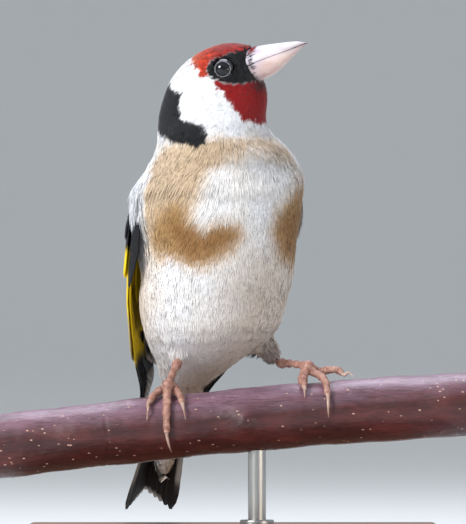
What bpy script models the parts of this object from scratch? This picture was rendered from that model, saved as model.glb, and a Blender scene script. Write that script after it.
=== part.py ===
"""European goldfinch, still and life size, gripping a cut length of branch on a plain stand.

Metres, +Z up. The origin is the middle of the stand base's underside, and the camera side is -Y.
Sizes below are millimetres, and MM turns them into metres where a mesh is made.
A place on the bird is told by its own directions: ahead (out of the breast) and side (out of its right).
"""

import math
import random

import bmesh
import bpy
from mathutils import Matrix, Vector

MM = 0.001
GAP = 0.3  # what touching pieces keep apart
RANDOM_SEED = 7

# The way the body and the head face, in degrees turned from the camera side towards +X
BODY_HEADING = 20.0
HEAD_HEADING = 75.0
BODY_AXIS_X = -3.0
HEAD_DEPTH_Y = -3.0

# Torso from the under-tail tip up: height, left and right edge seen from the front, breast, back
TORSO_LEVELS = (
    (18.8, -18.4, -16.6, -43.2, -44.4),
    (20.5, -19.6, -15.4, -41.0, -44.2),
    (24.5, -20.4, -14.0, -38.2, -42.9),
    (30.0, -20.2, -11.8, -33.0, -39.8),
    (36.0, -19.4, -9.4, -28.0, -36.2),
    (42.0, -19.0, -6.5, -22.5, -33.0),
    (47.0, -19.5, 0.0, -9.0, -31.0),
    (52.0, -21.6, 6.3, 0.5, -28.5),
    (57.0, -23.2, 12.0, 8.0, -26.2),
    (64.5, -24.3, 14.4, 12.0, -24.0),
    (72.0, -23.7, 16.0, 15.5, -21.8),
    (79.5, -24.0, 16.7, 17.5, -20.0),
    (87.0, -25.4, 18.0, 19.0, -17.8),
    (94.5, -24.7, 18.4, 19.2, -15.0),
    (98.0, -22.0, 17.4, 18.4, -13.6),
)
# Neck and head: height, left and right edge, half width across, heading
NECK_LEVELS = (
    (102.0, -20.0, 15.2, 15.6, 28.0),
    (104.5, -19.4, 12.1, 14.3, 38.0),
    (107.0, -19.3, 9.7, 13.2, 50.0),
)
HEAD_LEVELS = (
    (109.5, -19.1, 8.6, 12.4, 62.0),
    (113.5, -18.3, 8.9, 11.4, 72.0),
    (116.5, -17.3, 8.9, 10.7, HEAD_HEADING),
    (120.2, -15.6, 7.6, 9.9, HEAD_HEADING),
    (123.5, -12.9, 6.2, 9.0, HEAD_HEADING),
    (125.5, -10.4, 5.9, 7.9, HEAD_HEADING),
    (127.2, -7.6, 5.6, 6.2, HEAD_HEADING),
    (128.3, -4.9, 4.3, 4.1, HEAD_HEADING),
    (129.0, -2.3, 1.8, 1.9, HEAD_HEADING),
)
UNDERTAIL_HEIGHT = 18.2
NECK_FROM = 101.0
HEAD_FROM = 108.6
RING_SIDES = 32

# Bill: length of the axis, and profile as share of the length, culmen, gonys and half width
BILL_BASE = (7.5, -6.2, 124.1)
BILL_LENGTH = 12.3
BILL_RISE = 21.0
BILL_PROFILE = (
    (-0.22, 3.9, -4.2, 3.5),
    (0.0, 3.9, -4.2, 3.6),
    (0.15, 3.55, -3.95, 3.4),
    (0.30, 3.1, -3.4, 2.9),
    (0.46, 2.6, -2.55, 2.3),
    (0.63, 2.05, -1.65, 1.65),
    (0.80, 1.4, -0.8, 1.0),
    (0.92, 0.65, -0.3, 0.5),
    (1.0, 0.12, -0.04, 0.14),
)
BILL_GAPE_HEIGHT = 0.1
BILL_SIDES = 16
NOSTRIL = (0.2, 2.3, 2.9)  # share of the bill's length, height over its axis, distance from its middle
NOSTRIL_RADIUS = 0.55

EYE_RADIUS = 2.7
EYE_PLACE = (-2.7, 122.05)  # x and height of the right eye
EYE_SUNK = 1.9
EYE_FORWARD_TURN = 10.0
LID_RING_RADIUS = 1.95
LID_THICKNESS = 0.42

# The cone of each wing's feathers: height, middle, half depth and half width
SLEEVE_LEVELS = (
    (26.0, -46.0, 4.4, 7.2),
    (31.0, -41.4, 5.0, 8.2),
    (38.0, -34.0, 6.4, 10.0),
    (44.0, -25.6, 9.6, 12.4),
    (50.0, -17.0, 15.0, 16.4),
    (57.0, -9.5, 18.3, 19.4),
    (65.0, -6.2, 19.2, 21.2),
    (72.0, -3.2, 19.7, 22.0),
    (80.0, -1.4, 19.4, 21.9),
    (87.0, 0.6, 18.7, 22.1),
    (94.5, 2.0, 17.2, 21.9),
    (98.0, 2.4, 16.4, 20.6),
)

# Each row of wing feathers: how many, then for its first and last feather the root and tip as
# (angle round the body, height), then the feather's width, its layer and the layer's step
WING_ROWS = {
    "primary": (8, (110, 74), (118, 76), (134, 30.5), (153, 44.0), 4.8, 0.0, 0.09),
    "secondary": (6, (113, 80), (150, 82), (118, 50.0), (164, 48.5), 6.4, 0.7, 0.11),
    "tertial": (3, (157, 84), (168, 86), (168, 52.0), (174, 60.0), 6.2, 1.4, 0.2),
    "greater_covert": (7, (110, 88), (164, 90), (110, 70.5), (170, 70.0), 6.0, 1.45, 0.09),
    "median_covert": (6, (112, 92), (160, 93), (110, 80.0), (166, 80.0), 6.0, 1.95, 0.08),
    "alula": (2, (105, 82), (108, 84), (105, 68.0), (108, 72.0), 3.0, 0.9, 0.3),
}
WING_VANE_THICKNESS = 0.75
WING_PLATE = (108.0, 168.0, 66.0, 90.0)  # first and last angle, lowest and highest level
WING_PLATE_LAYER = 0.9
WING_PLATE_DEPTH = 2.5
# The wing comes out from under the body feathers between these heights, from this layer
WING_EMERGES = (95.0, 82.0)
WING_SUNK_LAYER = -1.3
# The far wing's tip lies closer in, out of sight behind the belly
LEFT_WING_TUCK = 2.6
LEFT_WING_TUCK_LEVELS = (64.0, 50.0)

TAIL_TILT = 36.9  # from the vertical, going back
TAIL_ROOT = (-24.0, 1.8, 54.0)  # ahead, side and height
TAIL_RIDGE_LENGTH = 46.8
TAIL_FORK = 2.6
TAIL_SLOPE = 33.0  # how far each half falls from the ridge
TAIL_HALF_WIDTH = 9.3
TAIL_FEATHERS_A_SIDE = 6
TAIL_VANE_THICKNESS = 0.75
TAIL_LAYER = 0.28

# Branch: middle height, rise along +X, sag of its arch, radius and reach each way
BRANCH_HEIGHT = 34.2
BRANCH_RISE = 0.0905
BRANCH_ARCH = 0.00031
BRANCH_RADIUS = 8.0
BRANCH_REACH = 60.0
BRANCH_SIDES = 18
BRANCH_RINGS = 24
KNOT_X = 3.5
KNOT_TURN = 100.0

# Legs, in world places
THIGH_LEFT = ((2.0, 16.0, 61.0), (7.0, 15.0, 54.5), (10.4, 13.4, 49.9), (11.2, 13.0, 48.9))
THIGH_LEFT_RADII = (6.6, 4.4, 2.4, 1.5)
THIGH_RIGHT = ((-11.0, 9.6, 58.0), (-12.6, 5.4, 53.0), (-13.4, 3.7, 50.3), (-13.6, 3.2, 49.4))
THIGH_RIGHT_RADII = (5.8, 4.8, 3.0, 1.7)
TARSUS_LEFT = ((11.6, 12.4, 48.6), (15.0, 6.6, 48.5), (18.2, 1.0, 48.0))
TARSUS_RIGHT = ((-13.7, 3.6, 49.0), (-14.9, 0.4, 46.5), (-16.0, -2.4, 43.9))
TARSUS_RADII = (1.15, 0.75, 0.95)
FOOT_PAD_RADIUS = 1.55
# Toes: x along the branch, turn round it from its top to the camera side, and lift over the bark
TOES = {
    "right_outer": ((-17.0, 4, 2.2), (-18.6, 14, 1.5), (-19.9, 26, 1.25), (-20.9, 42, 1.2)),
    "right_middle": ((-16.4, 26, 2.2), (-16.5, 46, 1.4), (-16.6, 70, 1.25), (-16.5, 97, 1.2)),
    "right_inner": ((-14.9, 10, 2.2), (-13.9, 22, 1.5), (-13.1, 36, 1.25), (-12.7, 50, 1.2)),
    "right_hind": ((-15.9, -2, 2.2), (-15.6, -22, 1.5), (-15.4, -48, 1.25), (-15.4, -70, 1.2)),
    "left_outer": ((21.2, -6, 3.0), (23.9, -8, 3.0), (25.9, -5, 2.8), (27.3, 0, 1.7)),
    "left_middle": ((20.0, 4, 2.8), (21.9, 12, 1.9), (23.1, 32, 1.35), (23.6, 58, 1.2)),
    "left_inner": ((18.0, 8, 2.6), (17.6, 18, 1.6), (17.6, 27, 1.3), (17.8, 38, 1.2)),
    "left_hind": ((17.6, -12, 2.6), (17.2, -30, 1.5), (17.0, -54, 1.25), (17.0, -76, 1.2)),
}
TOE_RADII = (1.05, 0.95, 0.9, 0.72)
CLAW_TIPS = {
    "right_outer": (-21.5, 74, 0.55),
    "right_middle": (-15.3, 138, 0.55),
    "right_inner": (-11.8, 80, 0.55),
    "right_hind": (-15.4, -118, 0.55),
    "left_outer": (30.4, 9, 0.7),
    "left_middle": (23.8, 97, 0.55),
    "left_inner": (17.9, 58, 0.55),
    "left_hind": (17.0, -122, 0.55),
}
CLAW_RADIUS = 0.62
CLAW_ARCH = 0.012  # how far a claw arches over the bark for each degree that it reaches round the branch
FOOT_SIDES = 8

BASE_SIZE = (104.0, 92.0, 8.0)
BASE_MIDDLE_Y = 0.0
BASE_BEVEL = 1.6
ROD_PLACE = (6.0, 0.0)
ROD_RADIUS = 2.25


def material(name, colour, roughness, metallic=0.0):
    made = bpy.data.materials.new(name)
    made.use_nodes = True
    shader = made.node_tree.nodes["Principled BSDF"]
    shader.inputs["Base Color"].default_value = (*colour, 1.0)
    shader.inputs["Roughness"].default_value = roughness
    shader.inputs["Metallic"].default_value = metallic
    return made


def new_object(name, mesh, finish):
    made = bpy.data.objects.new(name, mesh)
    bird_collection.objects.link(made)
    if finish is not None:
        made.data.materials.append(finish)
    return made


def loft(name, rings, finish=None):
    """A closed solid through rings of equally many points, each ring turning the same way."""
    shape = bmesh.new()
    rows = [[shape.verts.new(Vector(point) * MM) for point in ring] for ring in rings]
    sides = len(rows[0])
    for low, high in zip(rows, rows[1:]):
        for i in range(sides):
            j = (i + 1) % sides
            shape.faces.new((low[i], low[j], high[j]))
            shape.faces.new((low[i], high[j], high[i]))
    for row in (rows[0], rows[-1]):
        middle = shape.verts.new(sum((v.co for v in row), Vector()) / sides)
        for i in range(sides):
            shape.faces.new((row[i], row[(i + 1) % sides], middle))
    bmesh.ops.recalc_face_normals(shape, faces=shape.faces)
    mesh = bpy.data.meshes.new(name)
    shape.to_mesh(mesh)
    shape.free()
    return new_object(name, mesh, finish)


def apply_boolean(target, operation, cutter=None, collection=None):
    """Joins or cuts target, takes the result as its mesh and removes what was used."""
    change = target.modifiers.new(operation.title(), "BOOLEAN")
    change.operation = operation
    change.solver = "EXACT"
    if collection is None:
        change.operand_type = "OBJECT"
        change.object = cutter
    else:
        change.operand_type = "COLLECTION"
        change.collection = collection
    graph = bpy.context.evaluated_depsgraph_get()
    made = bpy.data.meshes.new_from_object(target.evaluated_get(graph))
    target.modifiers.clear()
    target.data = made
    used = [cutter] if collection is None else list(collection.objects)
    for other in used:
        bpy.data.objects.remove(other)
    keep_largest(target)


def keep_largest(target):
    """Keeps the one closed surface of a mesh that spans most."""
    shape = bmesh.new()
    shape.from_mesh(target.data)
    left = set(shape.faces)
    islands = []
    while left:
        island = {left.pop()}
        to_search = list(island)
        while to_search:
            for edge in to_search.pop().edges:
                for face in edge.link_faces:
                    if face in left:
                        left.remove(face)
                        island.add(face)
                        to_search.append(face)
        islands.append(island)
    islands.sort(key=island_size)
    for island in islands[:-1]:
        bmesh.ops.delete(shape, geom=list(island), context="FACES")
    shape.to_mesh(target.data)
    shape.free()


def island_size(island):
    spans = [[vert.co[axis] for face in island for vert in face.verts] for axis in range(3)]
    return sum(max(span) - min(span) for span in spans)


def join(base, pieces):
    """Fuses closed pieces into base by one union."""
    group = bpy.data.collections.new("joined to " + base.name)
    bpy.context.scene.collection.children.link(group)
    for piece in pieces:
        bird_collection.objects.unlink(piece)
        group.objects.link(piece)
    apply_boolean(base, "UNION", collection=group)
    bpy.data.collections.remove(group)


def smooth_through(levels, at):
    """Each value of the rows in levels, read at a height on a curve without overshoot."""
    heights = [row[0] for row in levels]
    at = min(max(at, heights[0]), heights[-1])
    i = max(k for k in range(len(levels) - 1) if heights[k] <= at)
    span = heights[i + 1] - heights[i]
    t = (at - heights[i]) / span
    values = []
    for column in range(1, len(levels[0])):
        slopes = [
            (levels[k + 1][column] - levels[k][column]) / (heights[k + 1] - heights[k])
            for k in range(len(levels) - 1)
        ]
        start = knot_slope(slopes, i)
        end = knot_slope(slopes, i + 1)
        a, b = levels[i][column], levels[i + 1][column]
        values.append(
            a * (1 + 2 * t) * (1 - t) ** 2
            + b * t * t * (3 - 2 * t)
            + span * (start * t * (1 - t) ** 2 - end * t * t * (1 - t))
        )
    return values


def knot_slope(slopes, k):
    if k == 0:
        return slopes[0]
    if k == len(slopes):
        return slopes[-1]
    before, after = slopes[k - 1], slopes[k]
    if before * after <= 0:
        return 0.0
    return 2 * before * after / (before + after)


def heading_vectors(heading):
    """The way ahead and the way to the right of something that faces by heading."""
    turn = math.radians(heading)
    ahead = Vector((math.sin(turn), -math.cos(turn), 0))
    side = Vector((-math.cos(turn), -math.sin(turn), 0))
    return ahead, side


AHEAD, SIDE = heading_vectors(BODY_HEADING)
HEAD_AHEAD, HEAD_SIDE = heading_vectors(HEAD_HEADING)


def bird_point(ahead, side, height):
    return Vector((BODY_AXIS_X, 0, height)) + AHEAD * ahead + SIDE * side


def width_for(half_seen, half_depth, heading):
    """Half the width of an oval of that depth, turned by heading, that looks half_seen wide from the front."""
    turn = math.radians(heading)
    return math.sqrt(half_seen**2 - (math.sin(turn) * half_depth) ** 2) / math.cos(turn)


def torso_section(row):
    """Turns one torso level into height, centre, half depth, half width and heading."""
    height, left, right, front, back = row
    half_depth = (front - back) / 2
    half_width = width_for((right - left) / 2, half_depth, BODY_HEADING)
    centre = bird_point((front + back) / 2, 0, height)
    sideways = (centre.x - (left + right) / 2) / math.cos(math.radians(BODY_HEADING))
    centre += SIDE * sideways
    return height, centre.x, centre.y, half_depth, half_width, BODY_HEADING


def neck_section(row):
    """A neck level is nearly round, so its depth is taken between what is seen and its width."""
    height, left, right, half_width, heading = row
    half_seen = (right - left) / 2
    half_depth = (half_seen + half_width) / 2
    half_width = width_for(half_seen, half_depth, heading)
    return height, (left + right) / 2, HEAD_DEPTH_Y, half_depth, half_width, heading


def head_section(row):
    height, left, right, half_width, heading = row
    half_seen = (right - left) / 2
    turn = math.radians(heading)
    half_depth = math.sqrt(half_seen**2 - (math.cos(turn) * half_width) ** 2) / math.sin(turn)
    return height, (left + right) / 2, HEAD_DEPTH_Y, half_depth, half_width, heading


SECTIONS = (
    [torso_section(row) for row in TORSO_LEVELS]
    + [neck_section(row) for row in NECK_LEVELS]
    + [head_section(row) for row in HEAD_LEVELS]
)


def body_ring(height, grow=0.0):
    """The body's outline at a height, as points at equal turns round its middle."""
    x, y, half_depth, half_width, heading = smooth_through(SECTIONS, height)
    ahead, side = heading_vectors(heading)
    half_depth += grow
    half_width += grow
    ring = []
    for i in range(RING_SIDES):
        turn = 2 * math.pi * i / RING_SIDES
        way = Vector((math.cos(turn), math.sin(turn), 0))
        reach = 1 / math.hypot(way.dot(ahead) / half_depth, way.dot(side) / half_width)
        ring.append(Vector((x, y, height)) + way * reach)
    return ring


def spaced(low, high, step):
    count = max(2, round((high - low) / step) + 1)
    return [low + (high - low) * i / (count - 1) for i in range(count)]


def build_body():
    torso_heights = spaced(UNDERTAIL_HEIGHT + 0.6, 42.0, 3.4) + spaced(45.0, NECK_FROM - GAP, 3.4)
    neck_heights = spaced(NECK_FROM, HEAD_FROM - GAP, 2.4)
    head_heights = spaced(HEAD_FROM, 124.5, 2.2) + [125.6, 126.6, 127.5, 128.2, 128.7, 129.0]
    loft("torso", [body_ring(h) for h in torso_heights], buff_feathers)
    loft("neck", [body_ring(h) for h in neck_heights], buff_feathers)
    return loft("head", [body_ring(h) for h in head_heights], head_feathers)


def grown_torso():
    """The torso's shape standing out by the gap, to cut clear what touches it."""
    heights = spaced(UNDERTAIL_HEIGHT, 42.0, 3.4) + spaced(45.0, NECK_FROM + 4, 3.4)
    return loft("torso clearance", [body_ring(h, GAP + 0.12) for h in heights])


def bill_frame():
    """Base point, way to the tip, up and side of the bill."""
    rise = math.radians(BILL_RISE)
    along = HEAD_AHEAD * math.cos(rise) + Vector((0, 0, math.sin(rise)))
    up = Vector((0, 0, math.cos(rise))) - HEAD_AHEAD * math.sin(rise)
    return Vector(BILL_BASE), along, up, HEAD_SIDE


def bill_loft(name, grow=0.0):
    base, along, up, side = bill_frame()
    rings = []
    for share, top, bottom, half_width in BILL_PROFILE:
        middle = base + along * (share * BILL_LENGTH + (grow if share == 1.0 else 0))
        ring = []
        for i in range(BILL_SIDES):
            turn = 2 * math.pi * i / BILL_SIDES
            height = math.sin(turn)
            reach = (top + grow) if height > 0 else (grow - bottom)
            ring.append(middle + up * (height * reach) + side * (math.cos(turn) * (half_width + grow)))
        rings.append(ring)
    return loft(name, rings)


def slab(name, middle, along, up, side, half_sizes):
    """A box with its faces square to three directions."""
    bpy.ops.mesh.primitive_cube_add(size=2)
    made = bpy.context.object
    made.name = name
    frame = Matrix((along * half_sizes[0], side * half_sizes[1], up * half_sizes[2])).transposed()
    made.data.transform(Matrix.Scale(MM, 4) @ Matrix.Translation(middle) @ frame.to_4x4())
    move_to_collection(made)
    if frame.determinant() < 0:
        made.data.flip_normals()
    return made


def move_to_collection(made):
    for holder in list(made.users_collection):
        holder.objects.unlink(made)
    bird_collection.objects.link(made)


def build_bill(head):
    base, along, up, side = bill_frame()
    apply_boolean(head, "DIFFERENCE", bill_loft("bill pocket", GAP))
    upper = bill_loft("bill_upper")
    lower = bill_loft("bill_lower")
    for name, bill, way in (("upper", upper, -1), ("lower", lower, 1)):
        middle = base + along * 4 + up * (BILL_GAPE_HEIGHT + way * (10 - GAP / 2))
        apply_boolean(bill, "DIFFERENCE", slab("gape " + name, middle, along, up, side, (14, 8, 10)))
        bill.data.materials.append(bill_horn)
    share, height, aside = NOSTRIL
    for way in (-1, 1):
        place = base + along * (share * BILL_LENGTH) + up * height + side * (way * aside)
        pit = ball("nostril", place, NOSTRIL_RADIUS, 8)
        apply_boolean(upper, "DIFFERENCE", pit)


def ball(name, place, radius, rings):
    bpy.ops.mesh.primitive_uv_sphere_add(
        radius=radius * MM, segments=rings * 2, ring_count=rings, location=Vector(place) * MM
    )
    made = bpy.context.object
    made.name = name
    move_to_collection(made)
    made.data.transform(made.matrix_world)
    made.matrix_world = Matrix()
    return made


def head_middle():
    x, y, _, _, _ = smooth_through(SECTIONS, EYE_PLACE[1])
    return Vector((x, y, EYE_PLACE[1]))


def eye_frames():
    """Each eye's surface point and the way it looks out."""
    middle = head_middle()
    _, _, half_depth, half_width, _ = smooth_through(SECTIONS, EYE_PLACE[1])
    turn = math.radians(EYE_FORWARD_TURN)
    forward = (EYE_PLACE[0] - middle.x - HEAD_SIDE.x * half_width) / HEAD_AHEAD.x
    out = half_width * math.sqrt(1 - (forward / half_depth) ** 2)
    for name, way in (("right", 1), ("left", -1)):
        look = HEAD_SIDE * (way * math.cos(turn)) + HEAD_AHEAD * math.sin(turn)
        yield name, middle + HEAD_AHEAD * forward + HEAD_SIDE * (way * out), look


def build_eyes(head):
    rims = []
    eyes = []
    for name, surface, look in eye_frames():
        centre = surface - look * EYE_SUNK
        eyes.append((name, centre))
        rim_out = math.sqrt(EYE_RADIUS**2 - LID_RING_RADIUS**2)
        bpy.ops.mesh.primitive_torus_add(
            major_radius=LID_RING_RADIUS * 1.12 * MM,
            minor_radius=LID_THICKNESS * MM,
            major_segments=20,
            minor_segments=8,
        )
        rim = bpy.context.object
        rim.name = "lid " + name
        move_to_collection(rim)
        turned = look.to_track_quat("Z", "Y").to_matrix().to_4x4()
        rim.data.transform(Matrix.Translation((centre + look * rim_out) * MM) @ turned)
        rims.append(rim)
    join(head, rims)
    for name, centre in eyes:
        apply_boolean(head, "DIFFERENCE", ball("socket " + name, centre, EYE_RADIUS + GAP, 9))
        eye = ball("eye_" + name, centre, EYE_RADIUS, 9)
        eye.data.materials.append(eye_dark)
        eye.data.shade_smooth()


def eased(value, start, end):
    """Goes smoothly from 0 at start to 1 at end."""
    t = min(max((value - start) / (end - start), 0), 1)
    return t * t * (3 - 2 * t)


def between(a, b, share):
    return a + (b - a) * share


def sleeve_point(turn, height, way, layer):
    """A point of the folded wing, a layer over the shape it lies on; way is 1 on the right, -1 on the left."""
    middle, half_depth, half_width = smooth_through(SLEEVE_LEVELS, height)
    if way < 0:
        half_width -= LEFT_WING_TUCK * eased(height, *LEFT_WING_TUCK_LEVELS)
    layer = between(WING_SUNK_LAYER, layer, eased(height, *WING_EMERGES))
    angle = math.radians(turn)
    ahead = middle + (half_depth + layer) * math.cos(angle)
    side = way * (half_width + layer) * math.sin(angle)
    return bird_point(ahead, side, height)


def vane(name, path, out, half_widths, thickness):
    """A feather: a flat closed strip along path, split alike on its two faces."""
    rings = []
    last = len(path) - 1
    for i, middle in enumerate(path):
        along = (path[min(i + 1, last)] - path[max(i - 1, 0)]).normalized()
        normal = (out[i] - along * out[i].dot(along)).normalized()
        across = along.cross(normal)
        wide = across * half_widths[i]
        drop = normal * (VANE_CAMBER * half_widths[i])
        half = thickness / 2 if i < last else thickness / 3
        left, right = middle - wide - drop, middle + wide - drop
        lift = normal * half
        rings.append((left + lift, middle + lift, right + lift, right - lift, middle - lift, left - lift))
    return strip(name, rings)


def strip(name, rings):
    """Skins a feather's six-point rings with the same diagonals above and below."""
    shape = bmesh.new()
    rows = [[shape.verts.new(point * MM) for point in ring] for ring in rings]
    for low, high in zip(rows, rows[1:]):
        for i, j in ((0, 1), (1, 2), (2, 3)):
            shape.faces.new((low[i], low[j], high[j]))
            shape.faces.new((low[i], high[j], high[i]))
        for i, j in ((4, 3), (5, 4), (0, 5)):
            shape.faces.new((low[i], high[j], low[j]))
            shape.faces.new((low[i], high[i], high[j]))
    for row, flip in ((rows[0], False), (rows[-1], True)):
        for corners in ((0, 5, 4), (0, 4, 1), (1, 4, 3), (1, 3, 2)):
            face = [row[k] for k in corners]
            shape.faces.new(face[::-1] if flip else face)
    bmesh.ops.recalc_face_normals(shape, faces=shape.faces)
    mesh = bpy.data.meshes.new(name)
    shape.to_mesh(mesh)
    shape.free()
    return new_object(name, mesh, None)


VANE_CAMBER = 0.06
VANE_WIDTHS = {
    "long": (0.6, 0.95, 1.0, 0.9, 0.62, 0.22),
    "short": (0.65, 1.0, 0.9, 0.42),
}


def wing_vanes(way, draw):
    pieces = []
    for row, (count, root_a, root_b, tip_a, tip_b, width, layer, step) in WING_ROWS.items():
        widths = VANE_WIDTHS["short" if "covert" in row or row == "alula" else "long"]
        for k in range(count):
            share = k / (count - 1)
            root = [between(root_a[n], root_b[n], share) for n in range(2)]
            tip = [between(tip_a[n], tip_b[n], share) for n in range(2)]
            tip[0] += draw.uniform(-0.6, 0.6)
            tip[1] += draw.uniform(-0.7, 0.7)
            level = layer + step * k
            path, out = [], []
            for n in range(len(widths)):
                t = n / (len(widths) - 1)
                turn = between(root[0], tip[0], t)
                height = between(root[1], tip[1], t)
                path.append(sleeve_point(turn, height, way, level))
                out.append(SIDE * (way * math.sin(math.radians(turn))) + AHEAD * math.cos(math.radians(turn)))
            half_widths = [w * width / 2 for w in widths]
            pieces.append(vane(f"{row} {k}", path, out, half_widths, WING_VANE_THICKNESS))
    return pieces


def wing_plate(name, way):
    """The closed plate under the coverts that every wing feather is rooted in."""
    first, last, low, high = WING_PLATE
    outer = WING_PLATE_LAYER
    columns = 8
    rows = 6
    rings = []
    for i in range(rows + 1):
        height = between(low, high, i / rows)
        ring = []
        for k in range(columns + 1):
            ring.append(sleeve_point(between(first, last, k / columns), height, way, outer))
        for k in range(columns + 1):
            point = sleeve_point(between(last, first, k / columns), height, way, outer)
            turn = math.radians(between(last, first, k / columns))
            inward = SIDE * (way * math.sin(turn)) + AHEAD * math.cos(turn)
            ring.append(point - inward * WING_PLATE_DEPTH)
        rings.append(ring)
    return loft(name, rings, wing_black)


def build_wing(side_name, way):
    draw = random.Random(RANDOM_SEED)
    wing = wing_plate("wing_" + side_name, way)
    join(wing, wing_vanes(way, draw))
    apply_boolean(wing, "DIFFERENCE", grown_torso())


def build_tail():
    tilt = math.radians(TAIL_TILT)
    slope = math.radians(TAIL_SLOPE)
    down = -AHEAD * math.sin(tilt) + Vector((0, 0, -math.cos(tilt)))
    under = AHEAD * math.cos(tilt) + Vector((0, 0, -math.sin(tilt)))
    root = bird_point(*TAIL_ROOT)
    pieces = []
    for way in (1, -1):
        across = SIDE * (way * math.cos(slope)) + under * math.sin(slope)
        over = SIDE * (way * math.sin(slope)) - under * math.cos(slope)
        for k in range(TAIL_FEATHERS_A_SIDE):
            share = (k + 0.5) / TAIL_FEATHERS_A_SIDE
            length = TAIL_RIDGE_LENGTH + TAIL_FORK * share
            spread = TAIL_HALF_WIDTH * share - 0.5
            width = 4.0 - 0.5 * share
            layer = -TAIL_LAYER * k + (0.1 if way > 0 else 0.0)
            path = []
            for n in range(len(VANE_WIDTHS["long"])):
                t = n / (len(VANE_WIDTHS["long"]) - 1)
                aside = spread * (0.35 + 0.65 * t)
                path.append(root + down * (length * t) + across * aside + over * layer)
            half_widths = [max(w, 0.35) * width / 2 for w in VANE_WIDTHS["long"]]
            pieces.append(vane(f"rectrix {way} {k}", path, [over] * len(path), half_widths, TAIL_VANE_THICKNESS))
    tail = pieces.pop(0)
    tail.name = "tail"
    tail.data.materials.append(tail_black)
    join(tail, pieces)
    apply_boolean(tail, "DIFFERENCE", grown_torso())


def branch_middle(x):
    return Vector((x, 0, BRANCH_HEIGHT + BRANCH_RISE * x - BRANCH_ARCH * x * x))


def branch_radius(x, turn):
    """The bark's distance from the branch's middle, with its knot and slow unevenness."""
    knot = math.exp(-((x - KNOT_X) ** 2) / 18) * math.exp(-((turn - KNOT_TURN) ** 2) / 1500)
    uneven = 0.12 * math.sin(0.21 * x + math.radians(turn) * 2) + 0.08 * math.sin(0.47 * x + 1.3)
    return BRANCH_RADIUS + uneven + 0.9 * knot


def branch_point(x, turn, lift):
    """A point over the bark; turn goes from the branch's top to the camera side."""
    angle = math.radians(turn)
    way = Vector((0, -math.sin(angle), math.cos(angle)))
    return branch_middle(x) + way * (branch_radius(x, turn) + lift)


def branch_loft(name, finish, grow=0.0):
    rings = []
    for i in range(BRANCH_RINGS + 1):
        x = between(-BRANCH_REACH, BRANCH_REACH, i / BRANCH_RINGS)
        at_end = i in (0, BRANCH_RINGS)
        ring = []
        for k in range(BRANCH_SIDES):
            turn = 360.0 * k / BRANCH_SIDES
            ring.append(branch_point(x, turn if turn <= 180 else turn - 360, grow - (0.5 if at_end else 0)))
        rings.append(ring)
    return loft(name, rings, finish)


def tube(name, path, radii, finish=None, sides=FOOT_SIDES):
    """A closed round solid along a path, with a radius at each of its points."""
    rings = []
    last = len(path) - 1
    normal = Vector((0, 0, 1)) if abs((path[1] - path[0]).normalized().z) < 0.8 else Vector((1, 0, 0))
    for i, middle in enumerate(path):
        along = (path[min(i + 1, last)] - path[max(i - 1, 0)]).normalized()
        normal = (normal - along * normal.dot(along)).normalized()
        other = along.cross(normal)
        ring = []
        for k in range(sides):
            turn = 2 * math.pi * k / sides
            ring.append(middle + (normal * math.cos(turn) + other * math.sin(turn)) * radii[i])
        rings.append(ring)
    return loft(name, rings, finish)


def curved(points, steps):
    """Points along a smooth curve through the given ones."""
    points = [Vector(p) for p in points]
    ends = [points[0] * 2 - points[1]] + points + [points[-1] * 2 - points[-2]]
    found = []
    for i in range(1, len(ends) - 2):
        a, b, c, d = ends[i - 1 : i + 3]
        for n in range(steps):
            t = n / steps
            found.append(
                0.5 * (2 * b + (c - a) * t + (2 * a - 5 * b + 4 * c - d) * t**2 + (3 * b - 3 * c + d - a) * t**3)
            )
    return found + [points[-1]]


def spread_radii(radii, count):
    found = []
    for i in range(count):
        place = i / (count - 1) * (len(radii) - 1)
        k = min(int(place), len(radii) - 2)
        found.append(between(radii[k], radii[k + 1], place - k))
    return found


def build_legs():
    for side_name, thigh, radii, shank in (
        ("left", THIGH_LEFT, THIGH_LEFT_RADII, TARSUS_LEFT),
        ("right", THIGH_RIGHT, THIGH_RIGHT_RADII, TARSUS_RIGHT),
    ):
        thigh_path = curved(thigh, 3)
        thigh_radii = spread_radii(radii, len(thigh_path))
        leg = tube("thigh_" + side_name, thigh_path, thigh_radii, pale_feathers, 12)
        apply_boolean(leg, "DIFFERENCE", grown_torso())
        path = curved(shank, 4)
        tarsus = tube("tarsus_" + side_name, path, spread_radii(TARSUS_RADII, len(path)), leg_skin)
        apply_boolean(tarsus, "DIFFERENCE", grown_torso())
        thigh_path.append(thigh_path[-1] + (thigh_path[-1] - thigh_path[-2]).normalized() * GAP)
        thigh_radii = [radius + GAP for radius in thigh_radii + thigh_radii[-1:]]
        apply_boolean(tarsus, "DIFFERENCE", tube("thigh clearance", thigh_path, thigh_radii, None, 12))
        joint = foot_joint(shank)
        apply_boolean(tarsus, "DIFFERENCE", foot_shape("foot clearance", side_name, joint, GAP))
        foot = foot_shape("foot_" + side_name, side_name, joint)
        foot.data.materials.append(leg_skin)
        for toe in TOES:
            if toe.startswith(side_name):
                build_claw(toe, toe_path(toe, joint))


def foot_joint(shank):
    """The middle of the pad where a leg's toes part."""
    ankle, knuckle = Vector(shank[-2]), Vector(shank[-1])
    return knuckle + (knuckle - ankle).normalized() * (TARSUS_RADII[-1] + GAP)


def toe_path(toe, joint):
    return curved([joint] + [branch_point(*point) for point in TOES[toe]], 2)


def foot_shape(name, side_name, joint, grow=0.0):
    foot = ball(name, joint, FOOT_PAD_RADIUS + grow, 6)
    toes = []
    for toe in TOES:
        if toe.startswith(side_name):
            path = toe_path(toe, joint)
            radii = spread_radii(TOE_RADII, len(path))
            radii = [r * (1.07 if n % 2 else 0.95) + grow for n, r in enumerate(radii)]
            toes.append(tube("toe " + toe, path, radii))
    join(foot, toes)
    return foot


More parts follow.
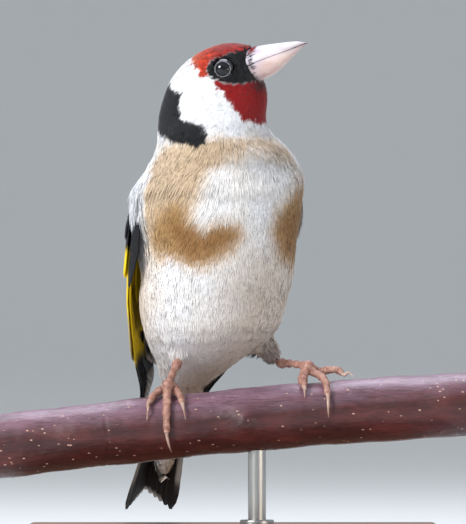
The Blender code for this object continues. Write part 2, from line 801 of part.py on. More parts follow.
def build_claw(toe, path):
    tip = branch_point(*CLAW_TIPS[toe])
    end = path[-1]
    onward = (end - path[-2]).normalized()
    start = end + onward * (GAP + 0.05)
    x, turn, lift = TOES[toe][-1]
    tip_x, tip_turn, _ = CLAW_TIPS[toe]
    arch = CLAW_ARCH * abs(tip_turn - turn)
    middle = branch_point((x + tip_x) / 2, (turn + tip_turn) / 2, lift + arch)
    points = curved((start, start + onward * 0.7, middle, tip), 2)
    radii = [CLAW_RADIUS * (1 - n / len(points)) ** 0.8 + 0.06 for n in range(len(points))]
    tube("claw_" + toe, points, radii, claw_horn, 7)


def build_stand():
    bpy.ops.mesh.primitive_cube_add(size=1)
    base = bpy.context.object
    base.name = "stand_base"
    wide, deep, thick = BASE_SIZE
    base.data.transform(
        Matrix.Translation(Vector((0, BASE_MIDDLE_Y, thick / 2)) * MM)
        @ Matrix.Diagonal((wide * MM, deep * MM, thick * MM, 1))
    )
    move_to_collection(base)
    base.data.materials.append(stand_wood)
    edge = base.modifiers.new("Edge", "BEVEL")
    edge.width = BASE_BEVEL * MM
    edge.segments = 3
    x, y = ROD_PLACE
    top = branch_middle(x).z
    foot = thick + GAP
    bpy.ops.mesh.primitive_cylinder_add(
        radius=ROD_RADIUS * MM,
        depth=(top - foot) * MM,
        vertices=20,
        location=(x * MM, y * MM, (top + foot) / 2 * MM),
    )
    rod = bpy.context.object
    rod.name = "stand_rod"
    move_to_collection(rod)
    rod.data.transform(rod.matrix_world)
    rod.matrix_world = Matrix()
    rod.data.materials.append(stand_metal)
    apply_boolean(rod, "DIFFERENCE", branch_loft("rod clearance", None, GAP + 0.05))


for old in list(bpy.data.objects):
    bpy.data.objects.remove(old)
bird_collection = bpy.data.collections.new("goldfinch")
bpy.context.scene.collection.children.link(bird_collection)

buff_feathers = material("buff feathers", (0.62, 0.50, 0.36), 0.9)
head_feathers = material("head feathers", (0.78, 0.74, 0.72), 0.9)
pale_feathers = material("pale feathers", (0.66, 0.62, 0.56), 0.9)
wing_black = material("wing black and yellow", (0.05, 0.05, 0.06), 0.7)
tail_black = material("tail black", (0.05, 0.05, 0.06), 0.7)
bill_horn = material("bill horn", (0.85, 0.76, 0.70), 0.45)
eye_dark = material("eye", (0.02, 0.015, 0.01), 0.08)
leg_skin = material("leg skin", (0.62, 0.40, 0.33), 0.6)
claw_horn = material("claw horn", (0.50, 0.38, 0.32), 0.4)
bark = material("bark", (0.22, 0.07, 0.07), 0.4)
stand_wood = material("stand wood", (0.42, 0.30, 0.20), 0.5)
stand_metal = material("stand metal", (0.55, 0.54, 0.52), 0.3, 1.0)

head_object = build_body()
build_bill(head_object)
build_eyes(head_object)
build_wing("right", 1)
build_wing("left", -1)
build_tail()
build_legs()

branch_loft("perch", bark)
build_stand()
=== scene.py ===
"""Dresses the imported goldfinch: skin, feathers, bill, eyes, ringed legs, bark and stand."""

import math

import bmesh
import bpy
import numpy as np
from mathutils import Matrix, Vector


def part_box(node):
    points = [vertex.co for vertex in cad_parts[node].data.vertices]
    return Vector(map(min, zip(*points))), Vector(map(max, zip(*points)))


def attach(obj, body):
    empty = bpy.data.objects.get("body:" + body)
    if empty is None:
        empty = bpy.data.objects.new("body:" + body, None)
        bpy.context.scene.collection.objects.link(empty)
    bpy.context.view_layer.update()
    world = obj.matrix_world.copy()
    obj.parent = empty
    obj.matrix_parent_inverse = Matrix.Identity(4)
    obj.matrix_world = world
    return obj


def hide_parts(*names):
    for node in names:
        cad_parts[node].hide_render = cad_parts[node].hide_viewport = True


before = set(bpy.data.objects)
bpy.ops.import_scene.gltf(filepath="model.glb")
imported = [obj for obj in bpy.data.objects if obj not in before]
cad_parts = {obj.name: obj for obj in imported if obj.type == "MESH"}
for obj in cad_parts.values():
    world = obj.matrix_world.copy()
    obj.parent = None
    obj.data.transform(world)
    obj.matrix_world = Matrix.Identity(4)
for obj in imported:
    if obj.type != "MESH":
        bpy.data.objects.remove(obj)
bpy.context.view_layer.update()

MM = 0.001
RANDOM_SEED = 11

# The bird's own directions, and the middles that the markings are measured from, in millimetres
BODY_HEADING = 20.0
HEAD_HEADING = 75.0
BODY_AXIS_X = -3.0
HEAD_MIDDLE = np.array((-4.2, -3.0, 120.0))
BILL_BASE = np.array((7.5, -6.2, 124.1))
BILL_LENGTH = 12.3
BILL_RISE = 21.0

# Height, middle x and middle y of the body, from which turns round it are measured
BODY_MIDDLES = (
    (18.0, -17.5, 41.2),
    (30.0, -16.0, 34.2),
    (42.0, -12.75, 26.1),
    (52.0, -7.7, 13.2),
    (64.5, -5.0, 5.6),
    (79.5, -3.7, 1.2),
    (94.5, -3.2, -2.2),
    (104.0, -3.7, -3.0),
    (112.0, -4.8, -3.0),
    (120.0, -4.2, -3.0),
    (129.0, -1.0, -3.0),
)

PHOTO_HEIGHT = 524
MM_PER_PIXEL = 0.25
CAMERA_LENS = 800.0
SENSOR = 36.0
CAMERA_HEIGHT = 74.0


def srgb(red, green, blue):
    """A colour named by its screen values, as the linear numbers that shaders take."""
    return tuple(
        (c / 255 / 12.92) if c < 11 else ((c / 255 + 0.055) / 1.055) ** 2.4 for c in (red, green, blue)
    )


WHITE = srgb(240, 243, 250)
CREAM = srgb(236, 226, 212)
BELLY_WARM_SHADE = srgb(214, 198, 180)
BUFF = srgb(222, 190, 150)
TAWNY = srgb(184, 142, 88)
DEEP_TAWNY = srgb(122, 80, 34)
THIGH_GREY = srgb(146, 132, 128)
BACK_BROWN = srgb(124, 88, 58)
RUMP_PALE = srgb(206, 190, 168)
BLACK = srgb(14, 16, 22)
RED = srgb(160, 12, 18)
ORANGE_RED = srgb(228, 66, 28)
PALE_ORANGE = srgb(246, 132, 84)
YELLOW = srgb(246, 216, 26)
TIP_WHITE = srgb(236, 232, 226)
TAIL_BLACK = srgb(24, 21, 20)


def heading_vectors(heading):
    turn = math.radians(heading)
    ahead = np.array((math.sin(turn), -math.cos(turn), 0.0))
    side = np.array((-math.cos(turn), -math.sin(turn), 0.0))
    return ahead, side


AHEAD, SIDE = heading_vectors(BODY_HEADING)
HEAD_AHEAD, HEAD_SIDE = heading_vectors(HEAD_HEADING)
UP = np.array((0.0, 0.0, 1.0))


def smoothstep(low, high, values):
    t = np.clip((values - low) / (high - low), 0, 1)
    return t * t * (3 - 2 * t)


def mix(under, over, amount):
    amount = np.asarray(amount)[..., None]
    return under * (1 - amount) + np.asarray(over) * amount


def waviness(points, scale):
    """A smooth, repeatable unevenness between about -1 and 1."""
    x, y, z = (points[:, k] / scale for k in range(3))
    return (
        np.sin(x * 1.7 + 1.3 * np.sin(y * 1.1 + 0.4))
        + np.sin(y * 1.9 + 1.1 * np.sin(z * 1.3 + 2.1))
        + np.sin(z * 2.1 + 1.2 * np.sin(x * 1.2 + 4.0))
    ) / 3


def inside_by(points, outline):
    """How far each point lies inside a closed outline, below zero outside it."""
    outline = np.asarray(outline, float)
    ends = np.roll(outline, -1, axis=0)
    px, py = points[:, 0:1], points[:, 1:2]
    ax, ay = outline[:, 0], outline[:, 1]
    bx, by = ends[:, 0], ends[:, 1]
    dx, dy = bx - ax, by - ay
    t = np.clip(((px - ax) * dx + (py - ay) * dy) / (dx * dx + dy * dy + 1e-9), 0, 1)
    away = np.sqrt((px - ax - t * dx) ** 2 + (py - ay - t * dy) ** 2).min(axis=1)
    crossing = ((ay > py) != (by > py)) & (px < (bx - ax) * (py - ay) / (by - ay + 1e-12) + ax)
    return np.where(crossing.sum(axis=1) % 2 == 1, away, -away)


# Face markings as outlines on the head's side: ahead of and above the head's middle
RED_FOREHEAD = (
    (13.0, 12.0), (-2.2, 12.0), (-3.9, 7.5), (-4.7, 5.0), (-3.3, 3.2), (-2.2, 1.9), (-1.3, 0.6),
    (-0.2, 0.0), (0.9, 0.2), (0.4, 2.5), (1.4, 4.4), (3.3, 5.0), (6.4, 6.1), (9.6, 6.4), (13.0, 7.0),
)
BLACK_LORES = (
    (1.4, 4.4), (3.3, 5.0), (6.4, 6.3), (8.8, 7.4), (10.4, 9.4), (13.0, 10.6), (13.0, -0.6), (10.6, -0.8),
    (7.0, -1.4), (4.7, -1.2), (3.1, -0.5), (1.0, 0.2), (0.4, 2.5),
)
RED_THROAT = (
    (2.6, -1.0), (3.2, -2.5), (4.9, -4.0), (6.5, -6.0), (7.8, -7.5), (8.8, -8.8), (9.2, -10.2),
    (15.0, -10.8), (15.0, -0.6), (10.6, -0.8), (7.0, -1.4), (4.7, -1.2), (3.1, -0.5),
)
BLACK_NAPE = (
    (-18.0, 0.5), (-11.3, -0.6), (-9.3, -2.4), (-6.1, -3.8), (-6.1, -5.5), (-6.3, -7.5), (-5.2, -10.0),
    (-2.2, -10.7), (0.4, -11.4), (2.0, -13.6), (2.3, -15.4), (-0.4, -16.0), (-3.2, -15.2),
    (-7.1, -14.2), (-12.0, -12.4), (-18.0, -10.4),
)


def body_turn(points):
    """Turn round the body in degrees from the breast, above zero on the bird's right, and the way out."""
    table = np.asarray(BODY_MIDDLES)
    x = np.interp(points[:, 2], table[:, 0], table[:, 1])
    y = np.interp(points[:, 2], table[:, 0], table[:, 2])
    away = np.stack((points[:, 0] - x, points[:, 1] - y, np.zeros(len(points))), axis=1)
    return np.degrees(np.arctan2(away @ SIDE, away @ AHEAD)), away


# Body markings as outlines of turn round the body in degrees and height
BUFF_BREAST = (
    (84, 79), (88, 92), (84, 103), (60, 106), (20, 107.5), (-30, 106.5), (-62, 104), (-64, 100),
    (-35, 102), (-10, 103), (10, 101.5), (28, 96.5), (38, 89.5), (36, 86), (54, 80), (68, 76.5),
)
TAWNY_RIGHT = (
    (78, 82.5), (66, 88), (52, 91.5), (44, 90.5), (38, 86.8), (30, 84.4), (18, 86.2), (2, 86.2),
    (-1, 83), (8, 79.6), (18, 76.2), (30, 74.4), (46, 75.2), (62, 77.0), (74, 79.0),
)
DEEP_RIGHT = (
    (56, 85), (46, 88.6), (37, 85.6), (28, 83.6), (12, 85.0), (5, 83), (14, 79.8), (26, 77.4),
    (42, 77.6), (54, 80.5),
)
TAWNY_LEFT = (
    (-26, 84), (-30, 88), (-40, 91.5), (-60, 97), (-90, 99), (-90, 74), (-56, 75.5), (-40, 77), (-30, 79.5),
)
DEEP_LEFT = ((-38, 84), (-42, 87.5), (-62, 91), (-80, 90), (-80, 79), (-44, 79))
WHITE_SHOULDER = ((80, 97), (88, 98), (122, 96), (122, 74), (98, 74), (90, 82), (81, 90))
TURN_TO_MM = 0.36
LEFT_KNEE = np.array((11.0, 13.2, 50.0))


def bump(value, middle, reach):
    return np.exp(-(((value - middle) / reach) ** 2))


def patch(place, outline, soft):
    """How fully an outline of turn and height covers each place, with a soft edge in millimetres."""
    outline = np.asarray(outline, float) * (TURN_TO_MM, 1.0)
    return smoothstep(-soft, soft, inside_by(place, outline))


def body_colour(points):
    turn, _ = body_turn(points)
    z = points[:, 2]
    uneven = waviness(points, 3.1)
    aside = np.abs(turn)
    fine = waviness(points * (1.0, 1.0, 0.4), 0.6)
    across = turn * TURN_TO_MM + 0.7 * waviness(points + 9.0, 2.3) + 0.3 * fine
    place = np.stack((across, z + 0.8 * uneven + 0.5 * fine), axis=1)
    colour = np.tile(np.asarray(WHITE), (len(points), 1))
    colour = mix(colour, CREAM, 0.3 + 0.2 * uneven)
    # Warm beige on the bird's left side below the breast, and a little over the lower belly: painted warm
    # shade on the side away from the key light.
    painted_warm_shade = (1 - smoothstep(-25, 45, turn)) * (1 - smoothstep(72, 88, z))
    colour = mix(colour, BELLY_WARM_SHADE, 0.7 * painted_warm_shade + 0.15 * (1 - smoothstep(46, 60, z)))
    thigh = 1 - smoothstep(3.0, 7.0, np.linalg.norm(points - LEFT_KNEE, axis=1))
    colour = mix(colour, THIGH_GREY, 0.8 * thigh)
    colour = mix(colour, BUFF, 0.85 * patch(place, BUFF_BREAST, 3.0))
    flank = smoothstep(60, 95, aside) * smoothstep(52, 64, z) * (1 - smoothstep(74, 82, z))
    colour = mix(colour, BUFF, 0.5 * flank)
    colour = mix(colour, TAWNY, 0.95 * patch(place, TAWNY_RIGHT, 3.0))
    colour = mix(colour, DEEP_TAWNY, 0.72 * patch(place, DEEP_RIGHT, 2.2))
    colour = mix(colour, TAWNY, 0.95 * patch(place, TAWNY_LEFT, 3.2))
    colour = mix(colour, DEEP_TAWNY, 0.7 * patch(place, DEEP_LEFT, 2.0))
    colour = mix(colour, WHITE, 0.9 * patch(place, WHITE_SHOULDER, 1.6))
    back = smoothstep(112, 126, aside) * smoothstep(58, 68, z)
    colour = mix(colour, BACK_BROWN, back)
    rump = smoothstep(112, 128, aside) * (1 - smoothstep(58, 68, z)) * smoothstep(40, 48, z)
    return mix(colour, RUMP_PALE, 0.8 * rump)


def head_colour(points):
    away = points - HEAD_MIDDLE
    ahead, aside, up = away @ HEAD_AHEAD, away @ HEAD_SIDE, away[:, 2]
    ragged = 0.3 * waviness(points, 0.55)
    place = np.stack((ahead + ragged, up + 0.3 * waviness(points + 5.0, 0.5)), axis=1)
    colour = mix(np.tile(np.asarray(WHITE), (len(points), 1)), CREAM, 0.12 + 0.08 * waviness(points, 2.0))
    nape = smoothstep(-0.3, 0.3, inside_by(place, BLACK_NAPE))
    crown_line = (1 - smoothstep(1.1, 1.9, np.abs(aside))) * (1 - smoothstep(-4.6, -3.4, ahead))
    crown_line *= smoothstep(-4.0, -2.0, up)
    colour = mix(colour, BLACK, np.maximum(nape, crown_line))
    forehead = smoothstep(-0.3, 0.3, inside_by(place, RED_FOREHEAD))
    rear = 1 - smoothstep(-3.0, 5.0, ahead + 0.9 * waviness(points, 1.4))
    reds = mix(np.tile(np.asarray(RED), (len(points), 1)), ORANGE_RED, np.clip(0.1 + 1.0 * rear, 0, 1))
    reds = mix(reds, PALE_ORANGE, 0.75 * (1 - smoothstep(-4.6, -1.4, ahead + 0.5 * waviness(points, 1.0))))
    colour = mix(colour, reds, forehead)
    throat = smoothstep(-0.3, 0.3, inside_by(place, RED_THROAT))
    colour = mix(colour, RED, throat)
    lores = smoothstep(-0.25, 0.25, inside_by(place, BLACK_LORES))
    colour = mix(colour, BLACK, lores)
    chin = bump(ahead, 12.4, 2.0) * bump(up, -1.7, 1.5)
    return mix(colour, BLACK, np.clip(0.9 * chin, 0, 0.85))


def plumage_colour(points):
    """The plumage's colour at places on the body, from its markings."""
    z = points[:, 2] + 0.9 * waviness(points, 1.6)
    head_share = smoothstep(104.0, 108.5, z)
    away = points - HEAD_MIDDLE
    place = np.stack((away @ HEAD_AHEAD + 0.3 * waviness(points, 0.55), away[:, 2]), axis=1)
    hook = smoothstep(-0.4, 0.4, inside_by(place, BLACK_NAPE)) * smoothstep(102.5, 104.5, points[:, 2])
    colour = mix(body_colour(points), head_colour(points), head_share)
    return mix(colour, BLACK, hook)


# Node helpers

VANE_BARB_SLANT = -1.4
VANE_BARB_PITCH = 16.0


def new_material(name, roughness, metallic=0.0):
    made = bpy.data.materials.new(name)
    made.use_nodes = True
    shader = made.node_tree.nodes["Principled BSDF"]
    shader.inputs["Roughness"].default_value = roughness
    shader.inputs["Metallic"].default_value = metallic
    return made, made.node_tree, shader


def add_node(tree, kind, **values):
    node = tree.nodes.new(kind)
    for key, value in values.items():
        if key in node.inputs:
            node.inputs[key].default_value = value
        else:
            setattr(node, key, value)
    return node


def feed(tree, socket, value):
    """Gives a socket a link from another node, or a plain value."""
    if hasattr(value, "links"):
        tree.links.new(value, socket)
    else:
        socket.default_value = value


def calculate(tree, operation, *values):
    node = add_node(tree, "ShaderNodeMath", operation=operation)
    for socket, value in zip(node.inputs, values):
        feed(tree, socket, value)
    return node.outputs[0]


def shaded(tree, colour, value):
    node = tree.nodes.new("ShaderNodeHueSaturation")
    tree.links.new(value, node.inputs["Value"])
    tree.links.new(colour, node.inputs["Color"])
    return node.outputs["Color"]


def texture_place(tree):
    return tree.nodes.new("ShaderNodeTexCoord").outputs["Object"]


def noise(tree, place, scale, detail):
    node = add_node(tree, "ShaderNodeTexNoise", Scale=scale, Detail=detail, Roughness=0.5)
    tree.links.new(place, node.inputs["Vector"])
    return node.outputs["Fac"]


def stretched(tree, place, scales):
    node = add_node(tree, "ShaderNodeMapping")
    node.inputs["Scale"].default_value = scales
    tree.links.new(place, node.inputs["Vector"])
    return node.outputs["Vector"]


def ramp(tree, factor, stops):
    node = tree.nodes.new("ShaderNodeValToRGB")
    elements = node.color_ramp.elements
    while len(elements) < len(stops):
        elements.new(0.5)
    for element, (place, colour) in zip(elements, stops):
        element.position = place
        element.color = (*colour, 1.0)
    tree.links.new(factor, node.inputs["Fac"])
    return node.outputs["Color"]


def mix_colour(tree, factor, first, second):
    node = tree.nodes.new("ShaderNodeMix")
    node.data_type = "RGBA"
    feed(tree, node.inputs["Factor"], factor)
    for socket, colour in ((node.inputs[6], first), (node.inputs[7], second)):
        feed(tree, socket, (*colour, 1.0) if isinstance(colour, tuple) else colour)
    return node.outputs[2]


def add_bump(tree, shader, height, strength, distance):
    node = tree.nodes.new("ShaderNodeBump")
    node.inputs["Strength"].default_value = strength
    node.inputs["Distance"].default_value = distance
    tree.links.new(height, node.inputs["Height"])
    tree.links.new(node.outputs["Normal"], shader.inputs["Normal"])


def map_range(tree, value, low, high, to_low, to_high):
    node = tree.nodes.new("ShaderNodeMapRange")
    for key, number in (("From Min", low), ("From Max", high), ("To Min", to_low), ("To Max", to_high)):
        node.inputs[key].default_value = number
    tree.links.new(value, node.inputs["Value"])
    return node.outputs["Result"]


def new_effect(name, inputs, outputs):
    """An empty shader node group with named sockets, and the nodes for what goes in and comes out."""
    effect = bpy.data.node_groups.new(name, "ShaderNodeTree")
    for way, sockets in (("INPUT", inputs), ("OUTPUT", outputs)):
        for socket, kind in sockets:
            effect.interface.new_socket(name=socket, in_out=way, socket_type="NodeSocket" + kind)
    return effect, effect.nodes.new("NodeGroupInput").outputs, effect.nodes.new("NodeGroupOutput").inputs


def place_effect(tree, effect, values):
    """Puts an effect into a material, with a link or a value for each named input."""
    node = tree.nodes.new("ShaderNodeGroup")
    node.node_tree = effect
    for socket, value in values.items():
        feed(tree, node.inputs[socket], value)
    return node.outputs


def make_grain_effect():
    """Noise that is stretched along the grain, as in horn, bark, wood and brushed metal."""
    inputs = (
        ("Place", "Vector"), ("Stretch", "Vector"), ("Detail", "Float"),
        ("Roughness", "Float"), ("Distortion", "Float"),
    )
    effect, given, result = new_effect("streaky grain", inputs, (("Value", "Float"),))
    scaled = add_node(effect, "ShaderNodeVectorMath", operation="MULTIPLY")
    effect.links.new(given["Place"], scaled.inputs[0])
    effect.links.new(given["Stretch"], scaled.inputs[1])
    pattern = add_node(effect, "ShaderNodeTexNoise", Scale=1.0)
    effect.links.new(scaled.outputs[0], pattern.inputs["Vector"])
    for socket in ("Detail", "Roughness", "Distortion"):
        effect.links.new(given[socket], pattern.inputs[socket])
    effect.links.new(pattern.outputs["Fac"], result["Value"])
    return effect


def make_uneven_tint_effect():
    """The plumage's tint, a little lighter and darker from place to place."""
    effect, given, result = new_effect(
        "uneven tint", (("Tint", "Color"), ("Place", "Vector"), ("Scale", "Float")), (("Color", "Color"),)
    )
    pattern = add_node(effect, "ShaderNodeTexNoise", Detail=2.0, Roughness=0.5)
    effect.links.new(given["Place"], pattern.inputs["Vector"])
    effect.links.new(given["Scale"], pattern.inputs["Scale"])
    uneven = map_range(effect, pattern.outputs["Fac"], 0.3, 0.7, 0.9, 1.06)
    effect.links.new(shaded(effect, given["Tint"], uneven), result["Color"])
    return effect


def make_mottle_effect():
    """Bare skin or horn, mottled between two colours, with the height of its fine grain."""
    inputs = (
        ("Place", "Vector"), ("Scale", "Float"), ("Fine Scale", "Float"),
        ("Dark", "Color"), ("Light", "Color"),
    )
    effect, given, result = new_effect("mottled skin", inputs, (("Color", "Color"), ("Height", "Float")))
    broad = add_node(effect, "ShaderNodeTexNoise", Detail=4.0, Roughness=0.6)
    fine = add_node(effect, "ShaderNodeTexNoise", Detail=3.0, Roughness=0.5)
    for pattern, scale in ((broad, "Scale"), (fine, "Fine Scale")):
        effect.links.new(given["Place"], pattern.inputs["Vector"])
        effect.links.new(given[scale], pattern.inputs["Scale"])
    lightness = map_range(effect, broad.outputs["Fac"], 0.3, 0.7, 0.0, 1.0)
    effect.links.new(mix_colour(effect, lightness, given["Dark"], given["Light"]), result["Color"])
    effect.links.new(fine.outputs["Fac"], result["Height"])
    return effect


grain_effect = make_grain_effect()
uneven_tint_effect = make_uneven_tint_effect()
mottle_effect = make_mottle_effect()


def grain(tree, place, stretch, detail, roughness=0.5, distortion=0.0):
    values = {
        "Place": place, "Stretch": stretch, "Detail": detail,
        "Roughness": roughness, "Distortion": distortion,
    }
    return place_effect(tree, grain_effect, values)["Value"]


def plumage_material(name, roughness, sheen):
    made, tree, shader = new_material(name, roughness)
    tint = add_node(tree, "ShaderNodeAttribute", attribute_name="plumage").outputs["Color"]
    values = {"Tint": tint, "Place": texture_place(tree), "Scale": 900.0}
    tree.links.new(place_effect(tree, uneven_tint_effect, values)["Color"], shader.inputs["Base Color"])
    shader.inputs["Sheen Weight"].default_value = sheen
    shader.inputs["Sheen Roughness"].default_value = 0.5
    shader.inputs["Specular IOR Level"].default_value = 0.25
    return made


def vane_material(name):
    """Flight feathers: barbs run out from the shaft at a slant, with a low gloss."""
    made, tree, shader = new_material(name, 0.5)
    tint = add_node(tree, "ShaderNodeAttribute", attribute_name="plumage")
    place = add_node(tree, "ShaderNodeUVMap", uv_map="vane").outputs["UV"]
    split = tree.nodes.new("ShaderNodeSeparateXYZ")
    tree.links.new(place, split.inputs[0])
    fold = calculate(tree, "ABSOLUTE", split.outputs["X"])
    slant = calculate(tree, "MULTIPLY_ADD", fold, VANE_BARB_SLANT, split.outputs["Y"])
    waves = calculate(tree, "SINE", calculate(tree, "MULTIPLY", slant, VANE_BARB_PITCH))
    lines = map_range(tree, waves, -1, 1, 0.82, 1.08)
    tree.links.new(shaded(tree, tint.outputs["Color"], lines), shader.inputs["Base Color"])
    add_bump(tree, shader, waves, 0.35, 0.00006)
    shader.inputs["Specular IOR Level"].default_value = 0.25
    return made


# Mesh helpers

def mesh_arrays(mesh):
    points = np.empty(len(mesh.vertices) * 3, np.float32)
    mesh.vertices.foreach_get("co", points)
    normals = np.empty(len(mesh.vertices) * 3, np.float32)
    mesh.vertex_normals.foreach_get("vector", normals)
    return points.reshape(-1, 3).astype(float) / MM, normals.reshape(-1, 3).astype(float)


def place_points(mesh, points):
    mesh.vertices.foreach_set("co", (points * MM).astype(np.float32).ravel())
    mesh.update()


def shape_points(piece, change):
    """Moves every point of a mesh, told in millimetres, to the place that change gives for it."""
    points, _ = mesh_arrays(piece.data)
    place_points(piece.data, change(points))


def add_plumage(mesh, colours):
    layer = mesh.color_attributes.new("plumage", "FLOAT_COLOR", "POINT")
    values = np.ones((len(mesh.vertices), 4), np.float32)
    values[:, :3] = colours
    layer.data.foreach_set("color", values.ravel())


def quads_as_triangles(a, b, c, d):
    return np.concatenate((np.stack((a, b, c), -1).reshape(-1, 3), np.stack((a, c, d), -1).reshape(-1, 3)))


def join_solids(solids):
    """Points and triangles of several solids as those of one mesh."""
    starts = np.cumsum([0] + [len(points) for points, _ in solids])
    triangles = [faces + start for (_, faces), start in zip(solids, starts)]
    return np.concatenate([points for points, _ in solids]), np.concatenate(triangles)


def mesh_from_arrays(name, points, triangles, material, colours=None, uvs=None, uv_name="OFBake"):
    """An object of one mesh; points in millimetres, uvs one for each triangle corner."""
    mesh = bpy.data.meshes.new(name)
    mesh.vertices.add(len(points))
    mesh.vertices.foreach_set("co", (np.asarray(points, np.float64) * MM).astype(np.float32).ravel())
    mesh.loops.add(len(triangles) * 3)
    mesh.loops.foreach_set("vertex_index", np.asarray(triangles, np.int32).ravel())
    mesh.polygons.add(len(triangles))
    mesh.polygons.foreach_set("loop_start", np.arange(len(triangles), dtype=np.int32) * 3)
    mesh.update(calc_edges=True)
    mesh.polygons.foreach_set("use_smooth", np.full(len(triangles), True))
    if uvs is not None:
        layer = mesh.uv_layers.new(name=uv_name)
        layer.data.foreach_set("uv", np.asarray(uvs, np.float32).ravel())
    if colours is not None:
        add_plumage(mesh, colours)
    mesh.materials.append(material)
    made = bpy.data.objects.new(name, mesh)
    bpy.context.scene.collection.objects.link(made)
    return made


def turn_faces_outwards(piece):
    shape = bmesh.new()
    shape.from_mesh(piece.data)
    bmesh.ops.recalc_face_normals(shape, faces=shape.faces)
    shape.to_mesh(piece.data)
    shape.free()


def smooth_faces(piece, sharp_angle):
    piece.data.shade_smooth()
    piece.data.set_sharp_from_angle(angle=math.radians(sharp_angle))


def apply_modifier(piece, kind, **values):
    modifier = piece.modifiers.new(kind.lower(), kind)
    for key, value in values.items():
        setattr(modifier, key, value)
    bpy.ops.object.modifier_apply(modifier=modifier.name)


def finish_piece(piece, slot, *nodes):
    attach(piece, "root")
    if nodes:
        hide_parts(*nodes)
    return piece


# Skin

SKIN_VOXEL = 0.5
SKIN_SMOOTHINGS = 26
# The skin under the coat is the plumage's colour made a little darker: painted shade under the feathers.
SKIN_PAINTED_SHADE = 0.93
BILL_ALONG = HEAD_AHEAD * math.cos(math.radians(BILL_RISE)) + UP * math.sin(math.radians(BILL_RISE))
BILL_UP = UP * math.cos(math.radians(BILL_RISE)) - HEAD_AHEAD * math.sin(math.radians(BILL_RISE))


def bill_place(points):
    """Places told by the bill: along its axis, up from it and to its side, in millimetres."""
    away = points - BILL_BASE
    return away @ BILL_ALONG, away @ BILL_UP, away @ HEAD_SIDE


def eye_middle(way):
    node = "eye_right" if way > 0 else "eye_left"
    low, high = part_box(node)
    return (np.array(low) + np.array(high)) / 2 / MM


EYES = {way: eye_middle(way) for way in (1, -1)}
EYE_FORWARD_TURN = 10.0


def eye_look(way):
    turn = math.radians(EYE_FORWARD_TURN)
    return HEAD_SIDE * way * math.cos(turn) + HEAD_AHEAD * math.sin(turn)


def eye_distance(points):
    """Distance from the nearer eye's axis, on the outside of the head."""
    nearest = np.full(len(points), 99.0)
    for way, middle in EYES.items():
        away = points - middle
        look = eye_look(way)
        depth = away @ look
        off = np.linalg.norm(away - depth[:, None] * look, axis=1)
        nearest = np.where((depth > -1.0) & (off < nearest), off, nearest)
    return nearest


def coat_depth(points):
    """How far the skin lies under the coat's surface."""
    z = points[:, 2]
    depth = 1.15 - 0.65 * smoothstep(100, 110, z)
    depth = depth - 0.25 * (1 - smoothstep(18, 44, z))
    near_eye = 1 - smoothstep(2.6, 5.0, eye_distance(points))
    along, _, _ = bill_place(points)
    near_bill = smoothstep(-4.5, -1.0, along)
    depth = depth * (1 - 0.75 * near_eye * (z > 110))
    return depth - 0.15 * near_bill * (z > 112)


def build_skin():
    nodes = ("head", "neck", "torso", "thigh_left", "thigh_right")
    bpy.ops.object.select_all(action="DESELECT")
    copies = []
    for node in nodes:
        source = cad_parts[node]
        copy = bpy.data.objects.new("skin of " + node, source.data.copy())
        bpy.context.scene.collection.objects.link(copy)
        copies.append(copy)
        copy.select_set(True)
    bpy.context.view_layer.objects.active = copies[0]
    bpy.ops.object.join()
    skin = bpy.context.object
    skin.name = "skin"
    shape = bmesh.new()
    shape.from_mesh(skin.data)
    bmesh.ops.remove_doubles(shape, verts=shape.verts, dist=0.01 * MM)
    shape.to_mesh(skin.data)
    shape.free()
    apply_modifier(skin, "REMESH", mode="VOXEL", voxel_size=SKIN_VOXEL * MM)
    apply_modifier(skin, "SMOOTH", factor=0.5, iterations=SKIN_SMOOTHINGS)
    points, normals = mesh_arrays(skin.data)
    points -= normals * coat_depth(points)[:, None]
    place_points(skin.data, points)
    skin.data.shade_smooth()
    bpy.ops.object.mode_set(mode="EDIT")
    bpy.ops.mesh.select_all(action="SELECT")
    bpy.ops.uv.smart_project(angle_limit=math.radians(66), island_margin=0.002)
    bpy.ops.object.mode_set(mode="OBJECT")
    skin.data.uv_layers[0].name = "OFBake"
    add_plumage(skin.data, plumage_colour(points) * SKIN_PAINTED_SHADE)
    skin.data.materials.clear()
    skin.data.materials.append(skin_finish)
    return finish_piece(skin, "buff feathers", *nodes)


# Feather coat

COAT_BANDS = (
    # name, lowest and highest level, feathers
    ("coat_undertail", 15.0, 42.0, 800),
    ("coat_belly", 42.0, 57.0, 1650),
    ("coat_lower_breast", 57.0, 70.5, 1700),
    ("coat_breast", 70.5, 83.5, 1720),
    ("coat_upper_breast", 83.5, 96.0, 1720),
    ("coat_neck", 96.0, 107.0, 1720),
    ("coat_cheek", 107.0, 117.0, 1720),
    ("coat_face", 117.0, 131.0, 1720),
)
BARBS = 11
BARB_STEPS = (0.0, 0.5, 1.0)
BARB_SHAPE = (0.8, 1.0, 0.0)
BAKE_PATCH = 0.003
LENGTH_LEVELS = (18, 30, 42, 46, 60, 80, 95, 104, 110, 118, 124, 129)
LENGTHS = (2.2, 3.0, 4.4, 5.4, 5.6, 5.4, 5.0, 3.6, 2.4, 1.9, 1.6, 1.5)


def over_wing(points):
    """Where long flank and shoulder feathers lie over the wing's edge."""
    turn, _ = body_turn(points)
    z = points[:, 2]
    return smoothstep(82, 96, np.abs(turn)) * smoothstep(74, 80, z) * (1 - smoothstep(90, 97, z))


def feather_length(points):
    z = points[:, 2]
    length = np.interp(z, LENGTH_LEVELS, LENGTHS) + 2.8 * over_wing(points)
    face = (1 - smoothstep(2.5, 6.5, eye_distance(points))) * (z > 112)
    length = length * (1 - 0.45 * face)
    along, _, _ = bill_place(points)
    near_bill = smoothstep(-7.0, -1.0, along) * (z > 112)
    thigh = 1 - smoothstep(4.5, 7.0, np.linalg.norm(points - LEFT_KNEE, axis=1))
    return length * (1 - 0.3 * near_bill) * (1 - 0.6 * thigh)


